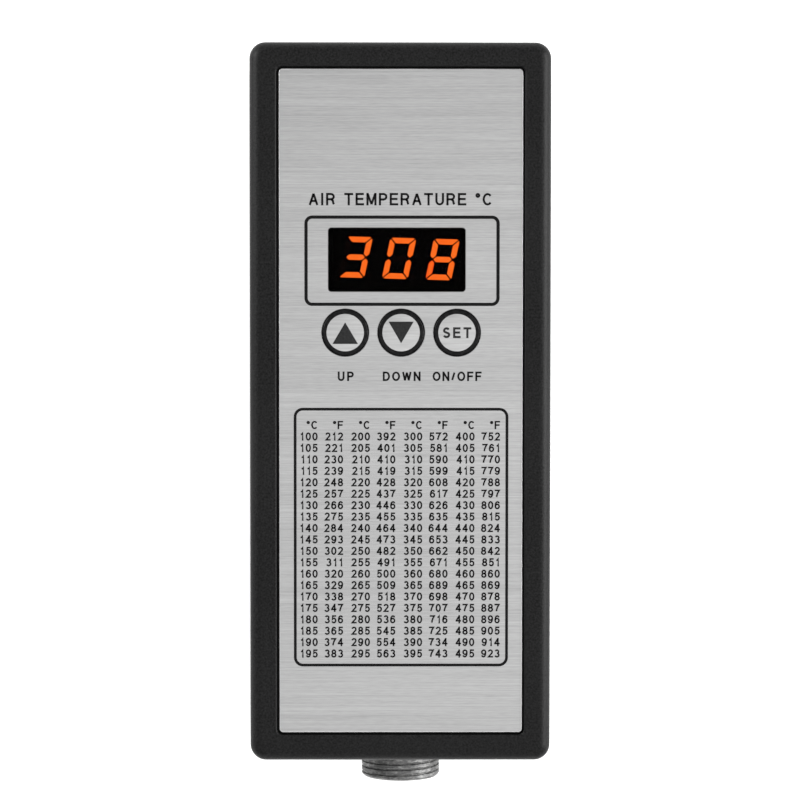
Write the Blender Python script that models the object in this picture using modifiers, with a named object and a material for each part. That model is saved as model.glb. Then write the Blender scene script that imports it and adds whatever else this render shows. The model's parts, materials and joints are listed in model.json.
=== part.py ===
"""Bench controller of a hot air rework station.

A moulded ABS case lies on four rubber feet with its control face up. The face
carries a brushed metal plate, a dark window over a three digit LED module and
three press keys. The handle plugs into the threaded round socket in the lower
end wall, and the mains lead into the inlet in the upper end wall. Inside, a
display board hangs from the front housing and a power board stands on the rear
cover.

Frame: +Z is out of the control face, +Y towards the mains inlet, +X to the
right of someone reading the face. The origin is under the middle of the whole
object, on the plane its feet stand on. Lengths below are in millimetres and
become metres where the shapes are made.
"""

import math

import bmesh
import bpy
from mathutils import Vector

MM = 0.001

# ---------------------------------------------------------------- dimensions
CASE_W = 67.0          # across the face
CASE_H = 160.0         # along the face
FRONT_Z = 45.0         # rim of the control face, above the table
SPLIT_Z = 10.0         # joint between front housing and rear cover
BACK_Z = 2.0           # outside of the rear cover
WALL = 2.5
CORNER_R = 3.6         # corner of the case seen from the front
FRONT_ROLL = 2.8       # rounding round the front edge
BACK_ROLL = 1.8
SEAM = 0.3             # shadow gap between housing and cover

PLATE_W, PLATE_H, PLATE_T = 54.2, 147.5, 0.5
PLATE_AT = (0.13, 0.24)
POCKET_W, POCKET_H, POCKET_DEEP = 55.0, 148.4, 1.0
POCKET_AT = (0.05, 0.2)
PLATE_Z = FRONT_Z - POCKET_DEEP + 0.1    # underside of the plate

WINDOW_W, WINDOW_H, WINDOW_R = 30.4, 14.05, 0.7
WINDOW_AT = (-0.8, 31.8)
LENS_W, LENS_H, LENS_T = 33.0, 16.6, 0.8
LENS_STEP_W, LENS_STEP_H, LENS_STEP_T = 29.8, 13.45, 0.5   # the part that fills the plate's window

KEY_PITCH = 12.39
KEY_AT = (0.17, 15.65)
KEY_R = 5.05           # with the plate's hole it leaves 0.2 all round
KEY_HOLE_R = 5.25
KEY_TRAVEL = 0.3

DISPLAY_W, DISPLAY_H, DISPLAY_T = 30.0, 14.0, 7.2
DISPLAY_AT = (-0.3, 31.95)
DISPLAY_SKEW = -1.6    # degrees, the module is soldered in a little askew

BOARD_T = 1.6
FRONT_BOARD_Z = 33.9   # rear side of the display board
MAIN_BOARD_Z = 9.9     # underside of the power board
ON_MAIN = MAIN_BOARD_Z + BOARD_T + 0.15

SOCKET_AT = (0.2, -80.0, 23.5)   # handle socket, on the end wall's outside
SOCKET_OUT = 6.85                # how far it stands out of the wall
THREAD_CREST_R, THREAD_ROOT_R, THREAD_PITCH = 8.95, 8.5, 1.25
SOCKET_BORE_R = 7.3

INLET_AT = (0.0, 80.0, 23.5)     # mains inlet, on the end wall's outside
INLET_SCREW_X = 20.0

CASE_SCREW = (26.4, 69.5)
FOOT = (24.5, 56.0)
FOOT_R = 4.7
MAIN_SCREWS = ((-23.5, -58.0), (23.5, -58.0), (-23.5, 54.0), (23.5, 54.0))
FRONT_SCREWS = ((-25.5, 42.5), (25.5, 11.5))
FRONT_PEGS = ((25.5, 42.5), (-25.5, 11.5))

# the whole object reaches from the socket's mouth to the inlet's end wall
LOW_Y, HIGH_Y = -CASE_H / 2 - SOCKET_OUT, CASE_H / 2
SHIFT_Y = -(LOW_Y + HIGH_Y) / 2

# ------------------------------------------------------------------- helpers
for old in list(bpy.data.objects):
    bpy.data.objects.remove(old, do_unlink=True)

PARTS = bpy.data.collections.new("hot_air_rework_station")
CUTTERS = bpy.data.collections.new("cutters")
for made in (PARTS, CUTTERS):
    bpy.context.scene.collection.children.link(made)

STATION = bpy.data.objects.new("station_origin", None)
PARTS.objects.link(STATION)
STATION.location = Vector((0.0, SHIFT_Y, 0.0)) * MM


def finish(name, colour, roughness, metallic=0.0):
    """A plain finish for one kind of piece."""
    mat = bpy.data.materials.new(name)
    mat.use_nodes = True
    shader = mat.node_tree.nodes["Principled BSDF"]
    shader.inputs["Base Color"].default_value = (*colour, 1.0)
    shader.inputs["Roughness"].default_value = roughness
    shader.inputs["Metallic"].default_value = metallic
    return mat


BLACK_ABS = finish("black_abs", (0.022, 0.022, 0.023), 0.55)
BRUSHED = finish("brushed_plate", (0.52, 0.52, 0.52), 0.38, 0.9)
SMOKED = finish("smoked_window", (0.004, 0.003, 0.003), 0.08)
KEY_FACE = finish("key_face", (0.6, 0.6, 0.6), 0.3, 0.3)
PLATED = finish("plated_metal", (0.42, 0.42, 0.41), 0.3, 1.0)
STEEL = finish("zinc_steel", (0.5, 0.5, 0.5), 0.35, 1.0)
RUBBER = finish("black_rubber", (0.02, 0.02, 0.02), 0.9)
NYLON = finish("black_nylon", (0.03, 0.03, 0.03), 0.45)
GREEN = finish("green_laminate", (0.02, 0.16, 0.06), 0.4)
FERRITE = finish("ferrite", (0.05, 0.05, 0.055), 0.7)
TAPE = finish("yellow_tape", (0.75, 0.55, 0.06), 0.4)
ALU = finish("anodised_aluminium", (0.6, 0.61, 0.62), 0.4, 1.0)
SLEEVE = finish("capacitor_sleeve", (0.03, 0.04, 0.09), 0.35)
WHITE = finish("white_nylon", (0.75, 0.74, 0.7), 0.5)
BLUE = finish("blue_terminal", (0.03, 0.16, 0.42), 0.45)
BROWN_PVC = finish("brown_pvc", (0.16, 0.06, 0.03), 0.5)
BLUE_PVC = finish("blue_pvc", (0.03, 0.1, 0.42), 0.5)
EARTH_PVC = finish("green_yellow_pvc", (0.3, 0.5, 0.05), 0.5)
GREY_PVC = finish("grey_pvc", (0.3, 0.3, 0.3), 0.5)
GLASS = finish("fuse_glass", (0.7, 0.75, 0.75), 0.1)


def place(name, data, mat, at=(0, 0, 0), turn=(0, 0, 0), group=None):
    """An object from mesh or curve data, carried by the station's origin."""
    obj = bpy.data.objects.new(name, data)
    (group or PARTS).objects.link(obj)
    obj.parent = STATION
    obj.location = Vector(at) * MM
    obj.rotation_euler = [math.radians(a) for a in turn]
    if mat and not data.materials:
        data.materials.append(mat)
    if group is CUTTERS:
        obj.hide_render = True
        obj.display_type = "WIRE"
    return obj


def mesh_of(bm, name):
    mesh = bpy.data.meshes.new(name)
    bm.to_mesh(mesh)
    bm.free()
    return mesh


def upright(edge):
    a, b = (v.co for v in edge.verts)
    return abs(a.x - b.x) < 1e-7 and abs(a.y - b.y) < 1e-7


def block(name, size, at, mat=None, corner=0.0, steps=3, turn=(0, 0, 0), group=None, soften=0.0):
    """A box on its centre, its upright corners rounded and its edges softened."""
    bm = bmesh.new()
    bmesh.ops.create_cube(bm, size=1.0)
    bmesh.ops.scale(bm, vec=Vector(size) * MM, verts=bm.verts)
    if corner:
        bmesh.ops.bevel(bm, geom=[e for e in bm.edges if upright(e)], offset=corner * MM,
                        offset_type="OFFSET", segments=steps, profile=0.5, affect="EDGES")
    obj = place(name, mesh_of(bm, name), mat, at, turn, group)
    if soften:
        bevel = obj.modifiers.new("soften", "BEVEL")
        bevel.width = soften * MM
        bevel.segments = 1
        bevel.limit_method = "ANGLE"
        bevel.angle_limit = math.radians(50)
    return obj


def rod(name, radius, length, at, mat=None, sides=20, turn=(0, 0, 0), group=None, end_radius=None):
    """A cylinder or cone on its centre, along its own Z."""
    bm = bmesh.new()
    bmesh.ops.create_cone(bm, cap_ends=True, segments=sides, radius1=radius * MM,
                          radius2=(radius if end_radius is None else end_radius) * MM,
                          depth=length * MM)
    return place(name, mesh_of(bm, name), mat, at, turn, group)


def turned(name, profile, at, mat, steps=20, turn=(0, 0, 0), ring=False, group=None):
    """A profile of (radius, height) points spun about its own Z.

    It runs down the outside from the top. A ring's profile closes on itself.
    """
    mesh = bpy.data.meshes.new(name)
    points = [(r * MM, 0.0, z * MM) for r, z in profile]
    edges = [(i, i + 1) for i in range(len(points) - 1)]
    if ring:
        edges.append((len(points) - 1, 0))
    mesh.from_pydata(points, edges, [])
    obj = place(name, mesh, mat, at, turn, group)
    spin = obj.modifiers.new("spin", "SCREW")
    spin.axis = "Z"
    spin.angle = math.tau
    spin.steps = spin.render_steps = steps
    spin.use_merge_vertices = True
    spin.merge_threshold = 0.00001
    spin.use_smooth_shade = True
    return obj


def outline(name, points, thickness, at, mat=None, turn=(0, 0, 0), group=None):
    """A flat outline in its own XY, thickened evenly both ways along its own Z."""
    curve = bpy.data.curves.new(name, "CURVE")
    curve.dimensions = "2D"
    curve.fill_mode = "BOTH"
    curve.extrude = thickness * MM / 2
    line = curve.splines.new("POLY")
    line.points.add(len(points) - 1)
    for p, (x, y) in zip(line.points, points):
        p.co = (x * MM, y * MM, 0.0, 1.0)
    line.use_cyclic_u = True
    return place(name, curve, mat, at, turn, group)


def smooth(knots, count):
    """A smooth line through the knots, sampled at count even steps of its parameter."""
    k = [Vector(p) for p in knots]
    k = [2 * k[0] - k[1], *k, 2 * k[-1] - k[-2]]
    spans = len(k) - 3
    line = []
    for i in range(count):
        t = spans * i / (count - 1)
        s = min(int(t), spans - 1)
        u = t - s
        a, b, c, d = k[s:s + 4]
        line.append(0.5 * ((2 * b) + (c - a) * u + (2 * a - 5 * b + 4 * c - d) * u * u
                           + (3 * b - a - 3 * c + d) * u ** 3))
    return line


def lead(name, knots, radius, mat, count=18, sides=2):
    """A round lead along a smooth line through the knots."""
    curve = bpy.data.curves.new(name, "CURVE")
    curve.dimensions = "3D"
    curve.bevel_depth = radius * MM
    curve.bevel_resolution = sides
    curve.use_fill_caps = True
    line = curve.splines.new("POLY")
    points = smooth(knots, count)
    line.points.add(len(points) - 1)
    for p, co in zip(line.points, points):
        p.co = (*(co * MM), 1.0)
    return place(name, curve, mat)


def solid_mesh(obj, mat=None):
    """The object as it is evaluated, as a mesh object of the same name."""
    bpy.context.view_layer.update()
    mesh = bpy.data.meshes.new_from_object(
        obj.evaluated_get(bpy.context.evaluated_depsgraph_get()))
    bm = bmesh.new()
    bm.from_mesh(mesh)
    bmesh.ops.remove_doubles(bm, verts=bm.verts, dist=1e-6)
    bmesh.ops.recalc_face_normals(bm, faces=bm.faces)
    bm.to_mesh(mesh)
    bm.free()
    name, world = obj.name, obj.matrix_world.copy()
    group = obj.users_collection[0]
    bpy.data.objects.remove(obj, do_unlink=True)
    made = bpy.data.objects.new(name, mesh)
    group.objects.link(made)
    made.parent = STATION
    made.matrix_parent_inverse = STATION.matrix_world.inverted()
    made.matrix_world = world
    if group is CUTTERS:
        made.hide_render = True
        made.display_type = "WIRE"
    return made


def cut(obj, tool, how="DIFFERENCE"):
    modifier = obj.modifiers.new(tool.name, "BOOLEAN")
    modifier.operation = how
    modifier.solver = "EXACT"
    modifier.object = tool


def join(obj, tool):
    cut(obj, tool, "UNION")


def hole(obj, radius, at, length, turn=(0, 0, 0), sides=20, name=None):
    cut(obj, rod(name or obj.name + "_hole", radius, length, at, sides=sides, turn=turn, group=CUTTERS))


def tray(name, width, height, z_open, z_shut, corner, roll, mat, corner_steps, roll_steps):
    """An open tray of even wall: a box without its open side, its upright corners
    and the rim of its shut side rounded, then thickened inwards."""
    bm = bmesh.new()
    bmesh.ops.create_cube(bm, size=1.0)
    low, high = sorted((z_open, z_shut))
    bmesh.ops.scale(bm, vec=Vector((width, height, high - low)) * MM, verts=bm.verts)
    bmesh.ops.translate(bm, vec=Vector((0, 0, (low + high) / 2)) * MM, verts=bm.verts)
    bm.faces.ensure_lookup_table()
    outer = [f for f in bm.faces if all(abs(v.co.z - z_open * MM) < 1e-7 for v in f.verts)]
    bmesh.ops.delete(bm, geom=outer, context="FACES")
    bmesh.ops.bevel(bm, geom=[e for e in bm.edges if upright(e)], offset=corner * MM,
                    offset_type="OFFSET", segments=corner_steps, profile=0.5, affect="EDGES")
    rim = [e for e in bm.edges if all(abs(v.co.z - z_shut * MM) < 1e-7 for v in e.verts)]
    bmesh.ops.bevel(bm, geom=rim, offset=roll * MM, offset_type="OFFSET",
                    segments=roll_steps, profile=0.5, affect="EDGES")
    obj = place(name, mesh_of(bm, name), mat)
    shell = obj.modifiers.new("wall", "SOLIDIFY")
    shell.thickness = WALL * MM
    shell.offset = -1.0
    shell.use_even_offset = True
    shell.use_rim = True
    return obj


def four(x, y):
    return [(sx * x, sy * y) for sx in (-1, 1) for sy in (-1, 1)]


# ------------------------------------------------------------- front housing
front_housing = tray("front_housing", CASE_W, CASE_H, SPLIT_Z, FRONT_Z,
                     CORNER_R, FRONT_ROLL, BLACK_ABS, 5, 4)
inside_face = FRONT_Z - WALL
post_low = FRONT_BOARD_Z + BOARD_T + 0.3
POST_L, POST_Z = inside_face + 0.8 - post_low, (inside_face + 0.8 + post_low) / 2

for n, (x, y) in enumerate(four(*CASE_SCREW)):
    post = rod(f"case_post_{n}", 3.0, inside_face + 0.8 - 7.8, (x, y, (inside_face + 0.8 + 7.8) / 2),
               sides=16, group=CUTTERS)
    join(front_housing, post)
for n, (x, y) in enumerate(FRONT_SCREWS):
    join(front_housing, rod(f"board_post_{n}", 2.8, POST_L, (x, y, POST_Z), sides=16, group=CUTTERS))
for n, (x, y) in enumerate(FRONT_PEGS):
    join(front_housing, rod(f"board_post_peg_{n}", 2.8, POST_L, (x, y, POST_Z), sides=16, group=CUTTERS))
    join(front_housing, rod(f"board_peg_{n}", 1.2, 7.0, (x, y, FRONT_BOARD_Z + 2.4), sides=12,
                            group=CUTTERS))

cut(front_housing, block("plate_pocket", (POCKET_W, POCKET_H, POCKET_DEEP * 2),
                         (*POCKET_AT, FRONT_Z), corner=1.3, steps=3, group=CUTTERS))
cut(front_housing, block("lens_rebate", (LENS_W + 0.6, LENS_H + 0.6, 2.0),
                         (*WINDOW_AT, FRONT_Z - POCKET_DEEP), corner=0.8, steps=2, group=CUTTERS))
cut(front_housing, block("display_opening", (31.4, 15.4, 4.0), (*WINDOW_AT, 42.6), corner=0.6,
                         steps=1, group=CUTTERS))
for n in (-1, 0, 1):
    hole(front_housing, 6.05, (KEY_AT[0] + n * KEY_PITCH, KEY_AT[1], 43.0), 4.0, sides=24,
         name=f"key_opening_{n + 2}")
for x, y in four(*CASE_SCREW):
    hole(front_housing, 1.75, (x, y, 14.0), 18.0, sides=12, name="case_pilot")
for x, y in FRONT_SCREWS:
    hole(front_housing, 1.45, (x, y, FRONT_BOARD_Z + 4.3), 7.0, sides=12, name="board_pilot")
hole(front_housing, 9.05, (SOCKET_AT[0], -79.0, SOCKET_AT[2]), 8.0, turn=(90, 0, 0), sides=32,
     name="socket_opening")
cut(front_housing, block("inlet_opening", (28.0, 8.0, 20.4), (INLET_AT[0], 79.0, INLET_AT[2]),
                         group=CUTTERS))
for sx in (-1, 1):
    at = (INLET_AT[0] + sx * INLET_SCREW_X, 79.0, INLET_AT[2])
    hole(front_housing, 1.8, at, 8.0, turn=(90, 0, 0), sides=14, name="inlet_screw_way")
    sink = rod("inlet_screw_sink", 3.55, 1.7, (at[0], 79.3, at[2]), sides=14, turn=(90, 0, 0),
               end_radius=1.85, group=CUTTERS)
    cut(front_housing, sink)

# ---------------------------------------------------------------- rear cover
rear_cover = tray("rear_cover", CASE_W, CASE_H, SPLIT_Z - SEAM, BACK_Z,
                  CORNER_R, BACK_ROLL, BLACK_ABS, 5, 2)
join(rear_cover, block("ledge", (CASE_W - 2 * WALL + 0.8, CASE_H - 2 * WALL + 0.8, 2.8),
                       (0, 0, 8.0), corner=1.2, steps=2, group=CUTTERS))
join(rear_cover, block("lip", (CASE_W - 2 * WALL - 0.6, CASE_H - 2 * WALL - 0.6, 3.0),
                       (0, 0, 10.5), corner=0.9, steps=2, group=CUTTERS))
cut(rear_cover, block("inside_of_lip", (CASE_W - 2 * WALL - 2.6, CASE_H - 2 * WALL - 2.6, 9.0),
                      (0, 0, 9.7), corner=0.5, steps=1, group=CUTTERS))
for n, (x, y) in enumerate(four(*CASE_SCREW)):
    join(rear_cover, rod(f"screw_seat_{n}", 4.4, 4.2, (x, y, 5.4), sides=18, group=CUTTERS))
for n, (x, y) in enumerate(MAIN_SCREWS):
    join(rear_cover, rod(f"standoff_{n}", 3.0, 6.2, (x, y, 6.5), sides=16, group=CUTTERS))
for x, y in four(*CASE_SCREW):
    hole(rear_cover, 3.3, (x, y, 3.5), 4.0, sides=18, name="head_recess")
    hole(rear_cover, 1.8, (x, y, 6.5), 4.0, sides=12, name="screw_way")
for x, y in MAIN_SCREWS:
    hole(rear_cover, 1.45, (x, y, 7.4), 6.0, sides=12, name="standoff_pilot")
for x, y in four(*FOOT):
    hole(rear_cover, FOOT_R + 0.3, (x, y, 1.6), 2.0, sides=24, name="foot_recess")
cut(rear_cover, block("nut_relief", (27.0, 3.0, 3.6), (SOCKET_AT[0], -76.6, 11.6), group=CUTTERS))
for row, y in enumerate((-26.0, 26.0)):
    for k in range(7):
        cut(rear_cover, block(f"vent_{row}_{k}", (2.2, 24.0, 6.0), ((k - 3) * 5.0, y, 3.2),
                              corner=1.0, steps=1, group=CUTTERS))

# ------------------------------------------------------------- control plate
face_plate = block("face_plate", (PLATE_W, PLATE_H, PLATE_T), (*PLATE_AT, PLATE_Z + PLATE_T / 2),
                   BRUSHED, corner=0.9, steps=3)
cut(face_plate, block("plate_window", (WINDOW_W, WINDOW_H, 4.0), (*WINDOW_AT, PLATE_Z),
                      corner=WINDOW_R, steps=3, group=CUTTERS))
for n in (-1, 0, 1):
    hole(face_plate, KEY_HOLE_R, (KEY_AT[0] + n * KEY_PITCH, KEY_AT[1], PLATE_Z), 4.0, sides=32,
         name=f"plate_key_hole_{n + 2}")

display_window = block("display_window", (LENS_W, LENS_H, LENS_T),
                       (*WINDOW_AT, FRONT_Z - POCKET_DEEP - 0.1 - LENS_T / 2), SMOKED,
                       corner=0.6, steps=2)
join(display_window, block("lens_step", (LENS_STEP_W, LENS_STEP_H, LENS_STEP_T + 0.4),
                           (*WINDOW_AT, FRONT_Z - POCKET_DEEP - 0.1 + LENS_STEP_T / 2 - 0.2),
                           corner=0.5, steps=2, group=CUTTERS))

# ---------------------------------------------------------------------- keys
# Each key is a low dome with a collar that the plate holds in, over the
# plunger of its switch. Both move together.
key_names = ("up", "down", "set")
switch_top = FRONT_BOARD_Z + BOARD_T + 0.1 + 3.5
for n, word in enumerate(key_names):
    x, y = KEY_AT[0] + (n - 1) * KEY_PITCH, KEY_AT[1]
    turned(f"key_{word}", [
        (0, 44.98), (2.0, 44.96), (3.8, 44.9), (4.8, 44.8), (KEY_R, 44.66),
        (KEY_R, 43.75), (5.7, 43.75), (5.7, 43.1), (1.8, 43.1), (1.8, 41.5), (0, 41.5),
    ], (x, y, 0), KEY_FACE, steps=24)
    turned(f"plunger_{word}", [
        (0, 41.4), (1.4, 41.4), (1.65, 41.15), (1.65, switch_top - 1.8), (0, switch_top - 1.8),
    ], (x, y, 0), NYLON, steps=14)
    body = block(f"switch_{word}", (6.0, 6.0, 3.5), (x, y, switch_top - 1.75), NYLON,
                 corner=0.5, steps=1)
    hole(body, 1.95, (x, y, switch_top - 1.0), 2.9, sides=14, name=f"switch_bore_{word}")

# ------------------------------------------------------------- display board
display_module = block("display_module", (DISPLAY_W, DISPLAY_H, DISPLAY_T),
                       (*DISPLAY_AT, FRONT_BOARD_Z + BOARD_T + 0.1 + DISPLAY_T / 2), NYLON,
                       turn=(0, 0, DISPLAY_SKEW), soften=0.3)
display_board = block("display_board", (58.0, 38.0, BOARD_T),
                      (0, 27.0, FRONT_BOARD_Z + BOARD_T / 2), GREEN)
for x, y in FRONT_SCREWS + FRONT_PEGS:
    hole(display_board, 1.6, (x, y, FRONT_BOARD_Z + 0.8), 4.0, sides=14, name="board_way")

# --------------------------------------------------------------- power board
main_board = block("main_board", (54.0, 120.0, BOARD_T), (0, -2.0, MAIN_BOARD_Z + BOARD_T / 2), GREEN)
for x, y in MAIN_SCREWS:
    hole(main_board, 1.6, (x, y, MAIN_BOARD_Z + 0.8), 4.0, sides=14, name="main_way")

mains_terminal = block("mains_terminal", (16.0, 10.0, 11.0), (-12.0, 34.0, ON_MAIN + 5.5), BLUE,
                       soften=0.6)
for n in (-1, 0, 1):
    cut(mains_terminal, block(f"wire_way_{n + 2}", (3.6, 7.0, 3.6), (-12.0 + n * 5.0, 39.0, 16.5),
                              group=CUTTERS))

fuse_holder = block("fuse_holder", (25.0, 8.0, 2.4), (13.0, 38.0, ON_MAIN + 1.2), NYLON)
for n, x in enumerate((3.6, 22.4)):
    join(fuse_holder, block(f"fuse_clip_{n}", (4.0, 7.2, 8.0), (x, 38.0, ON_MAIN + 5.5),
                            group=CUTTERS))
cut(fuse_holder, rod("fuse_seat", 2.9, 30.0, (13.0, 38.0, ON_MAIN + 7.0), sides=18,
                     turn=(0, 90, 0), group=CUTTERS))
cut(fuse_holder, block("fuse_mouth", (30.0, 4.2, 6.0), (13.0, 38.0, ON_MAIN + 10.2), group=CUTTERS))
turned("mains_fuse", [
    (0, 10.0), (2.6, 10.0), (2.6, 4.6), (2.35, 4.6), (2.35, -4.6), (2.6, -4.6), (2.6, -10.0),
    (0, -10.0),
], (13.0, 38.0, ON_MAIN + 7.0), GLASS, steps=14, turn=(0, 90, 0))

suppression_capacitor = block("suppression_capacitor", (18.0, 9.0, 14.5),
                              (14.0, 18.0, ON_MAIN + 7.25), TAPE, soften=0.5)

bpy.ops.mesh.primitive_torus_add(major_radius=6.0 * MM, minor_radius=3.2 * MM,
                                 major_segments=20, minor_segments=8)
ring = bpy.context.object
common_mode_choke = place("common_mode_choke", ring.data, FERRITE, (-9.5, 12.5, ON_MAIN + 3.3))
bpy.data.objects.remove(ring, do_unlink=True)

bridge_rectifier = block("bridge_rectifier", (15.0, 4.0, 11.0), (13.5, 5.0, ON_MAIN + 5.5), NYLON,
                         soften=0.4)
turned("bulk_capacitor", [
    (0, 19.6), (5.9, 19.6), (6.3, 19.2), (6.3, 2.4), (6.0, 1.9), (6.3, 1.4), (6.3, 0.3), (6.0, 0),
    (0, 0),
], (-9.0, -8.0, ON_MAIN), SLEEVE, steps=20)
turned("output_capacitor", [
    (0, 12.0), (3.7, 12.0), (4.0, 11.7), (4.0, 1.9), (3.75, 1.5), (4.0, 1.1), (4.0, 0), (0, 0),
], (-21.5, -9.0, ON_MAIN), SLEEVE, steps=16)

switching_transformer = block("switching_transformer", (20.0, 18.0, 3.0),
                              (11.0, -11.0, ON_MAIN + 1.5), TAPE)
join(switching_transformer, block("winding", (13.0, 16.0, 11.0), (11.0, -11.0, ON_MAIN + 8.2),
                                  corner=2.0, steps=2, group=CUTTERS))
join(switching_transformer, block("core", (19.0, 5.4, 15.0), (11.0, -11.0, ON_MAIN + 9.0),
                                  group=CUTTERS))

microcontroller = block("microcontroller", (18.0, 7.5, 2.4), (-10.0, -23.5, ON_MAIN + 1.2), NYLON,
                        soften=0.3)
handle_header = block("handle_header", (22.0, 8.5, 6.4), (-8.0, -38.0, ON_MAIN + 3.2), WHITE)
cut(handle_header, block("header_mouth", (20.0, 7.0, 4.4), (-8.0, -40.6, ON_MAIN + 3.2),
                         group=CUTTERS))

# heat sink: a comb of fins on a base, with the triac screwed to the base's bare side
fins = [(0.0, -15.0), (3.0, -15.0)]
for k in range(6):
    y0 = -15.0 + k * 5.6
    fins += [(13.0, y0), (13.0, y0 + 2.0), (3.0, y0 + 2.0)]
    if k < 5:
        fins.append((3.0, y0 + 5.6))
fins = [fins[0]] + fins[2:] + [(0.0, 15.0)]
heat_sink = solid_mesh(outline("heat_sink", fins, 24.0, (12.0, -40.0, ON_MAIN + 12.0), ALU))
triac_y, triac_z = -40.0, ON_MAIN + 16.0
hole(heat_sink, 1.5, (13.5, triac_y, triac_z), 5.0, turn=(0, 90, 0), sides=12, name="sink_hole")
triac = block("triac", (1.3, 10.0, 15.6), (11.1, triac_y, ON_MAIN + 11.6), STEEL)
join(triac, block("triac_body", (4.2, 10.0, 9.0), (9.4, triac_y, ON_MAIN + 8.4), group=CUTTERS))
for k in (-1, 0, 1):
    join(triac, block(f"triac_leg_{k + 2}", (0.6, 0.9, 4.6), (9.4, triac_y + k * 2.54, ON_MAIN + 2.35),
                      group=CUTTERS))
hole(triac, 1.9, (11.0, triac_y, triac_z), 5.0, turn=(0, 90, 0), sides=12, name="tab_hole")


# -------------------------------------------------------------------- screws
def screw_mesh(name, head_r, head_h, shank_r, length, slot, sides=14, flat=False):
    """A cross-recessed screw, its head's bearing side at its own Z 0 and its shank down -Z."""
    if flat:
        head = [(0, head_h), (head_r, head_h), (head_r, head_h - 0.3), (shank_r, 0.0)]
    else:
        head = [(0, head_h), (head_r * 0.72, head_h), (head_r, head_h * 0.55), (head_r, 0.0),
                (shank_r, 0.0)]
    obj = turned(name + "_template", head + [(shank_r, -length + 0.8), (shank_r * 0.45, -length),
                                             (0, -length)], (0, 0, 0), STEEL, steps=sides)
    for k, size in enumerate(((slot, slot * 0.26, head_h * 1.1), (slot * 0.26, slot, head_h * 1.1))):
        cut(obj, block(f"{name}_cross_{k}", size, (0, 0, head_h), group=CUTTERS))
    made = solid_mesh(obj)
    mesh = made.data
    bpy.data.objects.remove(made, do_unlink=True)
    return mesh


case_screw = screw_mesh("case_screw", 2.8, 1.9, 1.4, 11.0, 3.0)
for n, (x, y) in enumerate(four(*CASE_SCREW)):
    place(f"case_screw_{n + 1}", case_screw, STEEL, (x, y, 5.3), (180, 0, 0))
board_screw = screw_mesh("board_screw", 2.3, 1.6, 1.1, 6.5, 2.4, sides=12)
for n, (x, y) in enumerate(MAIN_SCREWS):
    place(f"main_board_screw_{n + 1}", board_screw, STEEL, (x, y, MAIN_BOARD_Z + BOARD_T + 0.15),
          (0, 0, 0))
for n, (x, y) in enumerate(FRONT_SCREWS):
    place(f"display_board_screw_{n + 1}", board_screw, STEEL, (x, y, FRONT_BOARD_Z - 0.15),
          (180, 0, 0))
place("triac_screw", board_screw, STEEL, (10.3, triac_y, triac_z), (0, -90, 0))
inlet_screw = screw_mesh("inlet_screw", 2.75, 1.5, 1.4, 7.2, 2.8, flat=True)
for n, sx in enumerate((-1, 1)):
    place(f"inlet_screw_{n + 1}", inlet_screw, STEEL,
          (INLET_AT[0] + sx * INLET_SCREW_X, 78.35, INLET_AT[2]), (-90, 0, 0))

# ---------------------------------------------------------------------- feet
foot = [(0, 2.45), (FOOT_R, 2.45), (FOOT_R, 0.7), (FOOT_R - 0.7, 0.0), (0, 0.0)]
for n, (x, y) in enumerate(four(*FOOT)):
    turned(f"foot_{n + 1}", foot, (x, y, 0), RUBBER, steps=24)

# ------------------------------------------------------------- handle socket
# Its own Z runs out of the end wall.
thread = []
z = SOCKET_OUT - 0.35
while z > 2.2:
    thread += [(THREAD_CREST_R, z), (THREAD_CREST_R, z - 0.55), (THREAD_ROOT_R, z - 0.9)]
    z -= THREAD_PITCH
turned("socket_shell", [
    (SOCKET_BORE_R, SOCKET_OUT), (THREAD_ROOT_R, SOCKET_OUT), *thread,
    (THREAD_ROOT_R, 1.65), (11.1, 1.65), (11.1, 0.2), (8.75, 0.2), (8.75, -9.5),
    (SOCKET_BORE_R, -9.5),
], SOCKET_AT, PLATED, steps=28, turn=(90, 0, 0), ring=True)
socket_insert = rod("socket_insert", 7.0, 7.5, (SOCKET_AT[0], -74.75, SOCKET_AT[2]), NYLON,
                    sides=24, turn=(90, 0, 0))
pins = [(0.0, 0.0)] + [(4.6 * math.cos(math.tau * k / 7), 4.6 * math.sin(math.tau * k / 7))
                       for k in range(7)]
for n, (px, pz) in enumerate(pins):
    join(socket_insert, rod(f"contact_{n}", 0.75, 15.7,
                            (SOCKET_AT[0] + px, -74.35, SOCKET_AT[2] + pz), sides=8,
                            turn=(90, 0, 0), group=CUTTERS))
turned("socket_washer", [(9.1, -2.7), (10.9, -2.7), (10.9, -3.3), (9.1, -3.3)], SOCKET_AT, STEEL,
       steps=28, turn=(90, 0, 0), ring=True)
nut = rod("socket_nut", 12.4, 2.6, (SOCKET_AT[0], -75.2, SOCKET_AT[2]), PLATED, sides=6,
          turn=(90, 0, 0))
hole(nut, 9.05, (SOCKET_AT[0], -75.2, SOCKET_AT[2]), 6.0, turn=(90, 0, 0), sides=28,
     name="nut_thread")

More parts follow.
